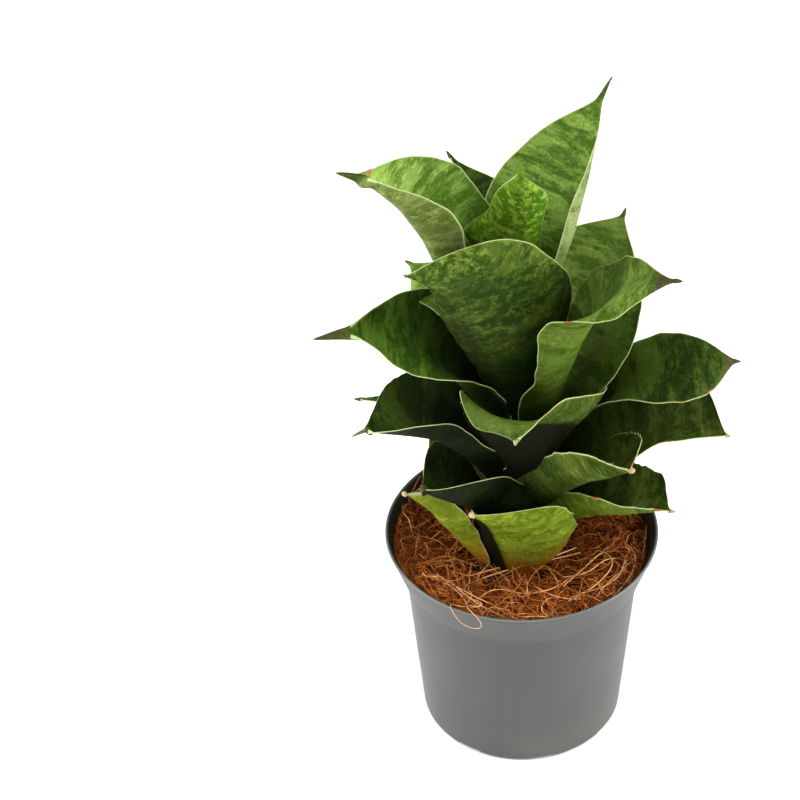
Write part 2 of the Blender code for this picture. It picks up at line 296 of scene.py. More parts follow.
def around(count, start):
    """A turn about the pot's axis for each of so many evenly spaced copies."""
    return [Matrix.Rotation(radians(start) + tau * index / count, 4, "Z") for index in range(count)]


def drain_cutter():
    """Notches through the foot, and a hole through the gutter in line with each."""
    shape = bmesh.new()
    length = FOOT_WIDTH + 2 * CUTTER_OVERSHOOT
    height = SLOT_HEIGHT + CUTTER_OVERSHOOT
    slot = Vector((gutter_radius + FOOT_WIDTH / 2, 0, SLOT_HEIGHT - height / 2)) * MM
    size = Matrix.Diagonal((length * MM, SLOT_WIDTH * MM, height * MM, 1))
    hole = Vector(((PAD_RADIUS + gutter_radius) / 2, 0, floor_top / 2)) * MM
    for turn in around(SLOT_COUNT, SLOT_AZIMUTH):
        bmesh.ops.create_cube(shape, size=1, matrix=turn @ Matrix.Translation(slot) @ size)
        bmesh.ops.create_cone(
            shape, cap_ends=True, segments=32, radius1=DRAIN_RADIUS * MM, radius2=DRAIN_RADIUS * MM,
            depth=(floor_top + 2 * CUTTER_OVERSHOOT) * MM, matrix=turn @ Matrix.Translation(hole),
        )
    mesh = bpy.data.meshes.new("drain_cutter")
    shape.to_mesh(mesh)
    shape.free()
    return add_piece("drain_cutter", mesh)


def evaluated(piece):
    """A plain mesh of the piece as its modifiers or its curve settings make it."""
    return bpy.data.meshes.new_from_object(piece.evaluated_get(bpy.context.evaluated_depsgraph_get()))


def settled(piece):
    """The piece with its modifiers made part of a plain mesh."""
    piece.data = evaluated(piece)
    piece.modifiers.clear()
    return piece


def smoothed(mesh, degrees=35):
    mesh.shade_smooth()
    mesh.set_sharp_from_angle(angle=radians(degrees))


def pot_plastic():
    """Satin grey plastic: faint flow marks, a lip painted paler as a highlight, a collar painted darker as
    shade, low dust, scuffs, and a short seam with a gate mark.
    """
    made, shader = new_material("pot_plastic")
    place = place_on(shader)
    flow = grain(stretched(place, 1, 1, 0.25), 45, 3, 0.55, 0.4)
    cloud = grain(place, 14, 3, 0.6)
    fine = grain(place, 1400, 2, 0.6)
    scuffs = ranged(grain(place, 120, 5, 0.75, 0.8), 0.66, 0.74)
    height = part(place, "Z")
    dust = times(ranged(height, 0.03, 0.0), ranged(cloud, 0.4, 0.7))
    colour = mixed(ranged(flow, 0.3, 0.7), (0.033, 0.037, 0.033), (0.040, 0.044, 0.039))
    colour = mixed(ranged(cloud, 0.35, 0.7, 0, 0.35), colour, (0.039, 0.047, 0.043))
    colour = mixed(times(scuffs, 0.35), colour, (0.15, 0.16, 0.155))
    colour = mixed(times(dust, 0.3), colour, (0.12, 0.112, 0.09))
    # Painted shade: the collar is drawn darker than the body below it.
    collar = ranged(height, 0.0795, 0.0825, 0.0, 0.6)
    # Painted highlight: the lip is drawn paler.
    lip = ranged(height, 0.0988, 0.0996, 0.0, 0.7)
    colour = mixed(lip, mixed(collar, colour, (0.011, 0.014, 0.011)), (0.12, 0.14, 0.13))
    seam = ranged(away(height, SEAM_HEIGHT * MM), 0.0004, 0.0001)
    seam = times(seam, ranged(away(part(place, "X"), SEAM_MIDDLE * MM), 0.013, 0.010))
    gate = vectors("DISTANCE", place, Vector(GATE) * MM)
    marks = math("MAXIMUM", times(seam, 0.5), ranged(gate, 0.0011, 0.0006))
    colour = mixed(marks, colour, (0.012, 0.014, 0.013))
    roughness = plus(ranged(cloud, 0.3, 0.7, 0.36, 0.46), times(scuffs, 0.15))
    feed(shader, Base_Color=colour, Roughness=roughness)
    bump(shader, plus(times(fine, 0.3), flow), 0.00008, 0.6)
    return made


pot = add_piece("nursery_pot", turned("nursery_pot", pot_profile(), POT_STEPS))
cutter = drain_cutter()
boolean = pot.modifiers.new("Drains", "BOOLEAN")
boolean.operation = "DIFFERENCE"
boolean.solver = "EXACT"
boolean.object = cutter
settled(pot)
bpy.data.objects.remove(cutter)
smoothed(pot.data)
pot.data.materials.append(pot_plastic())
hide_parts("pot")
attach(pot, "root")


# Coir bed -----------------------------------------------------------------------------------
# The growing medium is one block of matted coconut fibre, shaped by the pot. Its top is
# lumpy, a little higher in a ring round the stem, and broken by small dark hollows.

CLEARANCE = 0.35
COIR_BELOW_RIM = 9.0
COIR_CROWN = 1.0
COIR_CROWN_RADIUS = 38.0
COIR_DIP = 3.0
COIR_DIP_RADIUS = 25.0
STEM_BASE_RADIUS = 11.3
STEM_DEPTH = 26.0
COIR_STEPS = 300

# The top of the bed, in millimetres: lumps as (height, size), hollows as (x, y, radius, depth),
# and the bank against the collar, highest on the left.
COARSE_LUMPS = (1.7, 11)
FINE_LUMPS = (1.5, 4.5)
HOLLOW_SIZE = 7
HOLLOWS = ((24, -27, 7, 5), (-19, -40, 5, 3))
BANK = 3.6
BANK_START = 38

# Heights in metres between which the coir and its fibres grow darker, so that the hollows and the low ground
# round the stem are darker.
LOW_DARKENING = (0.0895, 0.0865)

coir_edge = pot_height - COIR_BELOW_RIM
coir_at_stem = coir_edge - COIR_DIP
socket_radius = STEM_BASE_RADIUS + CLEARANCE


def coir_profile():
    inset = WALL + CLEARANCE
    socket_floor = coir_at_stem - STEM_DEPTH - CLEARANCE
    bottom = floor_top + CLEARANCE
    step = ledge + CLEARANCE
    wall = collar_radius(coir_edge) - inset
    crown = (COIR_CROWN_RADIUS, coir_edge + COIR_CROWN)
    dip = (COIR_DIP_RADIUS, coir_at_stem)
    return [
        (0, socket_floor),
        (socket_radius, socket_floor),
        (socket_radius, coir_at_stem - 1),
        (socket_radius, coir_at_stem),
        *straight((socket_radius, coir_at_stem), dip, 20),
        dip,
        *straight(dip, crown, 20),
        crown,
        *straight(crown, (wall, coir_edge), 28),
        (wall, coir_edge),
        (collar_radius(step) - inset, step),
        (body_radius(step) - inset, step),
        (body_radius(bottom + FLOOR_FILLET) - inset, bottom + FLOOR_FILLET),
        (body_radius(bottom) - inset - FLOOR_FILLET, bottom),
        (0, bottom),
    ]


def lumps(points):
    """Raises and lowers the top of the bed, less where it meets the stem and the pot."""
    top = points[..., 2] > coir_at_stem - 0.5
    collar_slope = (rim_radius - COLLAR_FOOT_RADIUS) / COLLAR_HEIGHT
    for place in zip(*np.nonzero(top)):
        x, y, z = points[place]
        radius = hypot(x, y)
        hold = min(1, (radius - socket_radius) / 3) * min(1, 0.35 + (57 - radius) / 8)
        at = Vector((x, y, 0))
        rise = COARSE_LUMPS[0] * noise.noise(at / COARSE_LUMPS[1])
        rise += FINE_LUMPS[0] * noise.fractal(at / FINE_LUMPS[1], 0.6, 2.2, 3)
        hollow = max(0, noise.noise(at / HOLLOW_SIZE + Vector((31, 7, 5))) - 0.15) * 11
        for east, north, size, deep in HOLLOWS:
            hollow += deep * exp(-((hypot(x - east, y - north) / size) ** 4))
        bank = BANK * min(1, max(0, (radius - BANK_START) / 14)) * (0.55 - 0.45 * x / 56)
        change = (rise - hollow) * hold + bank
        points[place][2] = z + change
        if radius > 50:
            points[place][:2] *= 1 + collar_slope * change / radius
    return points


def coir_mat():
    """Rust-brown matted fibre: dark damp patches, darker hollows and low places, orange-brown pith and a fine
    stringy grain.
    """
    made, shader = new_material("coir_mat")
    place = place_on(shader)
    strings = grain(place, 420, 6, 0.75, 2.2)
    clumps = grain(place, 110, 4, 0.65, 0.6)
    damp = grain(place, 38, 2, 0.5)
    colour = mixed(ranged(strings, 0.36, 0.66), (0.038, 0.006, 0.001), (0.36, 0.088, 0.009))
    colour = mixed(ranged(clumps, 0.52, 0.72, 0, 0.7), colour, (0.36, 0.110, 0.018))
    colour = mixed(ranged(damp, 0.62, 0.38, 0, 0.6), colour, (0.075, 0.018, 0.004))
    deep = ranged(part(place, "Z"), *LOW_DARKENING, 0, 0.85)
    colour = mixed(deep, colour, (0.020, 0.005, 0.002))
    feed(shader, Base_Color=colour, Roughness=0.92, Specular_IOR_Level=0.1)
    bump(shader, plus(strings, clumps), 0.0008, 0.9)
    return made


coir = add_piece("coir_bed", turned("coir_bed", coir_profile(), COIR_STEPS, lumps))
coir.data.shade_smooth()
coir.data.materials.append(coir_mat())


# Coir fibres --------------------------------------------------------------------------------
# Loose fibre lies over the bed in every direction: a dense mat of short rust-brown ends, then
# long tan strands that arch and cross, and the longest, routed one by one, one of them over the rim.

FIBRE_SETS = {
    "coir_short_fibres": dict(
        density=0.20, length=(6, 15), radius=0.23, points=8, lift=1.0, bend=3.6, seed=3,
        colours=((0.052, 0.008, 0.001), (0.33, 0.076, 0.007), (0.62, 0.20, 0.034)),
    ),
    "coir_long_strands": dict(
        density=0.018, length=(18, 40), radius=0.23, points=18, lift=3.0, bend=9.0, seed=8,
        colours=((0.24, 0.065, 0.010), (0.42, 0.155, 0.032), (0.68, 0.38, 0.13)),
    ),
}
INSIDE_COLLAR = 54.6
FIBRE_TRAITS = (("shade", 0.0, 1.0), ("swerve", 0.0, 40.0), ("girth", 0.55, 1.2))
BEND_SCALE = 55
LOOSE_STRAND_RADIUS = 0.3
LOOSE_STRAND_COLOURS = ((0.62, 0.33, 0.13), (0.7, 0.42, 0.2), (0.7, 0.42, 0.2))


def fibre_tree(material, fibre):
    """Scatters curved fibres over the top of a bed."""
    tree = bpy.data.node_groups.new(material.name, "GeometryNodeTree")
    for in_out in ("OUTPUT", "INPUT"):
        tree.interface.new_socket("Geometry", in_out=in_out, socket_type="NodeSocketGeometry")
    seed = fibre["seed"]
    lowest = (coir_at_stem - 1.5) * MM

    def out(kind, inputs=None, **settings):
        return node(tree, kind, inputs, **settings).outputs[0]

    place = out("GeometryNodeInputPosition")
    bed = out("NodeGroupInput")
    on_top = math("GREATER_THAN", part(place, "Z"), lowest)
    inputs = {"Mesh": bed, "Selection": on_top, "Density": fibre["density"] / MM**2, "Seed": seed}
    scattered = node(tree, "GeometryNodeDistributePointsOnFaces", inputs).outputs["Points"]
    line = out("GeometryNodeCurvePrimitiveLine", {"Start": (-0.5, 0, 0), "End": (0.5, 0, 0)})
    line = out("GeometryNodeResampleCurve", {"Curve": line, "Count": fibre["points"]})

    def chance(low, high, offset, kind="FLOAT"):
        made = node(tree, "FunctionNodeRandomValue", {"Seed": seed + offset}, data_type=kind)
        for socket, value in zip([socket for socket in made.inputs if socket.enabled], (low, high)):
            socket.default_value = value
        return next(socket for socket in made.outputs if socket.enabled)

    def combined(**axes):
        return out("ShaderNodeCombineXYZ", axes)

    spin = chance((-0.25, -0.45, 0), (0.25, 0.25, tau), 1, "FLOAT_VECTOR")
    length = chance(*(size * MM for size in fibre["length"]), 2)
    inputs = {
        "Points": scattered, "Instance": line, "Scale": combined(X=length, Y=1.0, Z=1.0),
        "Rotation": out("FunctionNodeEulerToRotation", {0: spin}),
    }
    placed = out("GeometryNodeInstanceOnPoints", inputs)
    for offset, (name, low, high) in enumerate(FIBRE_TRAITS, 3):
        inputs = {"Geometry": placed, "Name": name, "Value": chance(low, high, offset)}
        placed = out("GeometryNodeStoreNamedAttribute", inputs, data_type="FLOAT", domain="INSTANCE")
    fibres = out("GeometryNodeRealizeInstances", {"Geometry": placed})

    def own(name):
        return out("GeometryNodeInputNamedAttribute", {"Name": name}, data_type="FLOAT")

    # Each fibre wanders by its own noise, and is highest in its middle.
    spread = vectors("MULTIPLY", place, (BEND_SCALE,) * 3)
    inputs = {"Vector": spread, "W": own("swerve"), "Scale": 1.0, "Detail": 1.5}
    wander = node(tree, "ShaderNodeTexNoise", inputs, noise_dimensions="4D").outputs["Color"]
    wander = vectors("SUBTRACT", wander, (0.5, 0.5, 0.46))
    wander = vectors("MULTIPLY", wander, (fibre["bend"] * MM * 4,) * 3)
    factor = node(tree, "GeometryNodeSplineParameter").outputs["Factor"]
    rise = times(math("SINE", times(factor, pi)), fibre["lift"] * MM, own("girth"))
    offset = vectors("ADD", wander, combined(Z=rise))
    fibres = out("GeometryNodeSetPosition", {"Geometry": fibres, "Offset": offset})

    # Fibres that would go past the collar or under the bed are pulled back.
    reach = vectors("LENGTH", vectors("MULTIPLY", place, (1, 1, 0)))
    keep = math("MINIMUM", math("DIVIDE", INSIDE_COLLAR * MM, reach), 1.0)
    level = combined(Z=math("MAXIMUM", part(place, "Z"), lowest))
    pulled = vectors("ADD", vectors("MULTIPLY", place, combined(X=keep, Y=keep, Z=0.0)), level)
    fibres = out("GeometryNodeSetPosition", {"Geometry": fibres, "Position": pulled})
    from_middle = away(times(factor, 2.0), 1.0)
    taper = math("SUBTRACT", 1.0, math("POWER", from_middle, 3.0))
    girth = times(plus(times(taper, 0.75), 0.25), own("girth"))
    profile = out("GeometryNodeCurvePrimitiveCircle", {"Resolution": 3, "Radius": fibre["radius"] * MM})
    inputs = {"Curve": fibres, "Profile Curve": profile, "Scale": girth, "Fill Caps": True}
    tubes = out("GeometryNodeCurveToMesh", inputs)
    coloured = out("GeometryNodeSetMaterial", {"Geometry": tubes, "Material": material})
    node(tree, "NodeGroupOutput", {0: coloured})
    return tree


def stored(tree, name):
    """A value that the mesh holds under this name."""
    return node(tree, "ShaderNodeAttribute", attribute_name=name).outputs["Fac"]


def fibre_skin(name, dark, middle, pale):
    """Coconut fibre, each strand with its own shade, and darker where it lies low on the bed."""
    made, shader = new_material(name)
    place = place_on(shader)
    shade = stored(shader.id_data, "shade")
    streak = grain(place, 260, 3, 0.6)
    colour = mixed(ranged(shade, 0.0, 0.6), dark, middle)
    colour = mixed(ranged(shade, 0.6, 1.0), colour, pale)
    colour = mixed(ranged(streak, 0.6, 0.35, 0, 0.6), colour, dark)
    deep = ranged(part(place, "Z"), *LOW_DARKENING, 0, 0.75)
    colour = mixed(deep, colour, (0.030, 0.008, 0.003))
    feed(shader, Base_Color=colour, Roughness=ranged(streak, 0.3, 0.7, 0.85, 0.6), Specular_IOR_Level=0.15)
    bump(shader, streak, 0.0001, 0.5)
    return made


for name, fibre in FIBRE_SETS.items():
    fibres = add_piece(name, coir.data.copy())
    modifier = fibres.modifiers.new("Fibres", "NODES")
    modifier.node_group = fibre_tree(fibre_skin(name, *fibre["colours"]), fibre)
    settled(fibres)
    fibres.data.shade_smooth()
    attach(fibres, "root")

# The longest strands, routed one by one: places in millimetres, with the height above the bed.
STRANDS = (
    ((28, -14, 1), (36, -6, 3), (45, -8, 4), (47, -18, 3), (40, -28, 2), (30, -27, 1)),
    ((50, 2, 1), (45, -10, 4), (46, -22, 5), (36, -34, 4), (22, -33, 1)),
    ((33, -2, 1), (42, -14, 5), (38, -26, 6), (28, -36, 4), (14, -42, 1)),
    ((-24, -22, 1), (-12, -19, 3), (0, -16, 4), (12, -13, 2), (26, -6, 1)),
    ((-22, -26, 1), (-10, -21, 3), (3, -18, 4), (14, -12, 4), (24, -3, 1)),
    ((-33, -38, 1), (-29, -46, 6), (-23, -50, 9), (-17, -49, 8), (-16, -42, 4), (-22, -36, 1)),
    ((-50, -2, 1), (-42, -12, 4), (-35, -24, 4), (-30, -38, 1)),
    ((-47, -16, 1), (-38, -22, 3), (-26, -34, 4), (-12, -43, 3), (2, -47, 1)),
    ((6, -28, 1), (13, -39, 4), (24, -42, 4), (31, -34, 1)),
    ((-8, -30, 1), (2, -39, 4), (13, -36, 5), (20, -24, 1)),
    ((-40, -6, 1), (-46, -18, 4), (-38, -30, 5), (-26, -28, 3), (-22, -18, 1)),
    ((40, 6, 1), (50, -6, 4), (51, -18, 4), (44, -30, 2), (34, -42, 1)),
    (
        (-27, -40, 1), (-31, -48, 9), (-30, -54, 12), (-27, -56, 6), (-21, -58, 3.5), (-16, -60, 6),
        (-18, -59, 11), (-24, -54, 13), (-23, -46, 6), (-18, -40, 1),
    ),
    ((18, -22, 1), (26, -26, 5), (33, -22, 7), (38, -12, 5), (48, -12, 1)),
    ((44, 4, 1), (36, -8, 5), (28, -20, 5), (18, -28, 1)),
    ((30, -40, 1), (36, -28, 5), (46, -20, 4), (50, -8, 1)),
    ((-10, -46, 1), (-20, -44, 5), (-30, -32, 5), (-34, -20, 1)),
    ((-44, -24, 1), (-34, -26, 5), (-24, -36, 5), (-22, -46, 1)),
)

loose = bpy.data.curves.new("coir_loose_strands", "CURVE")
loose.dimensions = "3D"
loose.bevel_depth = LOOSE_STRAND_RADIUS * MM
loose.bevel_resolution = 1
loose.resolution_u = 10
loose.use_fill_caps = True
for places in STRANDS:
    spline = loose.splines.new("NURBS")
    spline.points.add(len(places) - 1)
    spline.order_u = 4
    spline.use_endpoint_u = True
    for at, (x, y, above) in zip(spline.points, places):
        at.co = (x * MM, y * MM, (coir_edge + above - 1) * MM, 1)
        at.radius = 0.55 if hypot(x, y) > INSIDE_COLLAR or len(places) > 6 else 1.0
guide = add_piece("strand_guide", loose)
strands = add_piece("coir_loose_strands", evaluated(guide))
bpy.data.objects.remove(guide)
strands.data.materials.clear()
strands.data.materials.append(fibre_skin("coir_loose_strands", *LOOSE_STRAND_COLOURS))
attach(strands, "root")

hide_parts("coir")
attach(coir, "root")


# Stem ---------------------------------------------------------------------------------------
# The leaves hide a short fleshy stem that tapers to the growing point. It is ringed with the
# scars of older leaves and stands in its socket in the coir.

STEM_TOP_RADIUS = 3.9
STEM_SCARS = 1.3
SCAR_DEPTH = 0.25

stem_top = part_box("stem")[1].z / MM
stem_height = stem_top - coir_at_stem


def stem_radius(height):
    """Radius of the stem so far above the coir."""
    return STEM_BASE_RADIUS + (STEM_TOP_RADIUS - STEM_BASE_RADIUS) * height / stem_height


def stem_profile():
    heights = np.linspace(0, stem_height - 2, 120)
    scarred = [(stem_radius(h) - SCAR_DEPTH * abs(sin(STEM_SCARS * h)) ** 6, coir_at_stem + h) for h in heights]
    return [
        (0, stem_top),
        (STEM_TOP_RADIUS * 0.5, stem_top - 0.2),
        (STEM_TOP_RADIUS * 0.85, stem_top - 0.9),
        *reversed(scarred),
        (STEM_BASE_RADIUS - 0.3, coir_at_stem - 2),
        (STEM_BASE_RADIUS - 0.3, coir_at_stem - STEM_DEPTH + 1),
        (STEM_BASE_RADIUS - 1.3, coir_at_stem - STEM_DEPTH),
        (0, coir_at_stem - STEM_DEPTH),
    ]


def stem_skin():
    made, shader = new_material("stem_skin")
    place = place_on(shader)
    height = part(place, "Z")
    patches = grain(place, 160, 4, 0.6)
    colour = mixed(ranged(patches, 0.35, 0.65), (0.10, 0.14, 0.03), (0.22, 0.26, 0.09))
    colour = mixed(ranged(height, 0.12, 0.088), colour, (0.19, 0.10, 0.03))
    feed(shader, Base_Color=colour, Roughness=ranged(patches, 0.3, 0.7, 0.5, 0.7))
    bump(shader, patches, 0.0003, 0.6)
    return made


stem = add_piece("plant_stem", turned("plant_stem", stem_profile(), 96))
smoothed(stem.data)
stem.data.materials.append(stem_skin())
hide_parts("stem")
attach(stem, "root")


# Leaves -------------------------------------------------------------------------------------
# Broad fleshy leaves grow from the stem in a spiral. Each clasps the stem as a cone and then
# opens into its own curve, with a thin cream margin and a round pointed tip.

LEAF_THICKNESS = 1.8
MARGIN_SHARE = 0.45
TIP_THINNING = 0.5
MOST_WRAP = 140.0
RIPPLES = 2.2
RIPPLE_START = 0.1
RIPPLE_LAG = 0.37
LEAF_ROWS = 128
LEAF_COLUMNS = 45
MARGIN_THICKNESS = 0.42
MARGIN_TAPER = 5.0
LAST_ROW = 0.9995
ROW_CROWDING = 1.5
END_POINT = 0.02
MARGIN_POWER = 2.5
SWELL = 0.3
FRINGE = 0.55
PAINTED_SHADE_FADE = 4
MIDRIB_FADE = 1.5

# What a leaf has when its own entry doesn't say otherwise.
#   swing, hook      how far the tip's place and the tip's heading have turned from the base
#   off              how far the base has been pushed out from the stem by younger leaves
#   pull             how far the base's and the tip's directions carry, as shares of the length
#   lop              how much more the counter-clockwise half is cupped, in degrees
#   broad_at         where the leaf is widest, as a share of its length
#   base_share       width of the base, as a share of the full width
#   point            how drawn out the tip is
#   clasp            the share of the length over which the sheath opens into the blade
#   halves           widths of the clockwise and counter-clockwise halves, as shares
#   roll             turn about the midrib at the base, the middle and the tip
#   ripple           how far the margins wave in and out
#   widen            change of each half's width at even stations from base to tip, in millimetres
#   sway             how far each half's margin leans in at the same stations, in millimetres
#   spike, spike_radius   length and radius of the round tip
#   bead             radius of the dried bead at the very tip, if it has one
#   ragged           how deep the nicks in the margin are
#   dark_tip         how far back the tip's colour reaches, if farther than the round tip
#   painted_shade, unshaded   painted shade on the outer face of each half, for the shade between the
#                    leaves: how strongly it darkens, and from what distance from the margin on it is fully
#                        dark, in millimetres
#   dry              dried spots on the margin: which half, how far along, and the size in millimetres
#   skin             which of the leaf colourings it has
PLAIN_LEAF = dict(
    swing=0, hook=0, off=0, pull=(0.38, 0.38), lop=0, broad_at=0.45, base_share=0.45,
    point=1.4, clasp=0.45, halves=(1, 1), roll=(0, 0, 0), ripple=0,
    widen=((0,), (0,)), sway=((0,), (0,)), spike=5, spike_radius=1.1, bead=0, ragged=0.12,
    dark_tip=0, painted_shade=(0, 0), unshaded=(0, 0), dry=(), skin="middle",
)

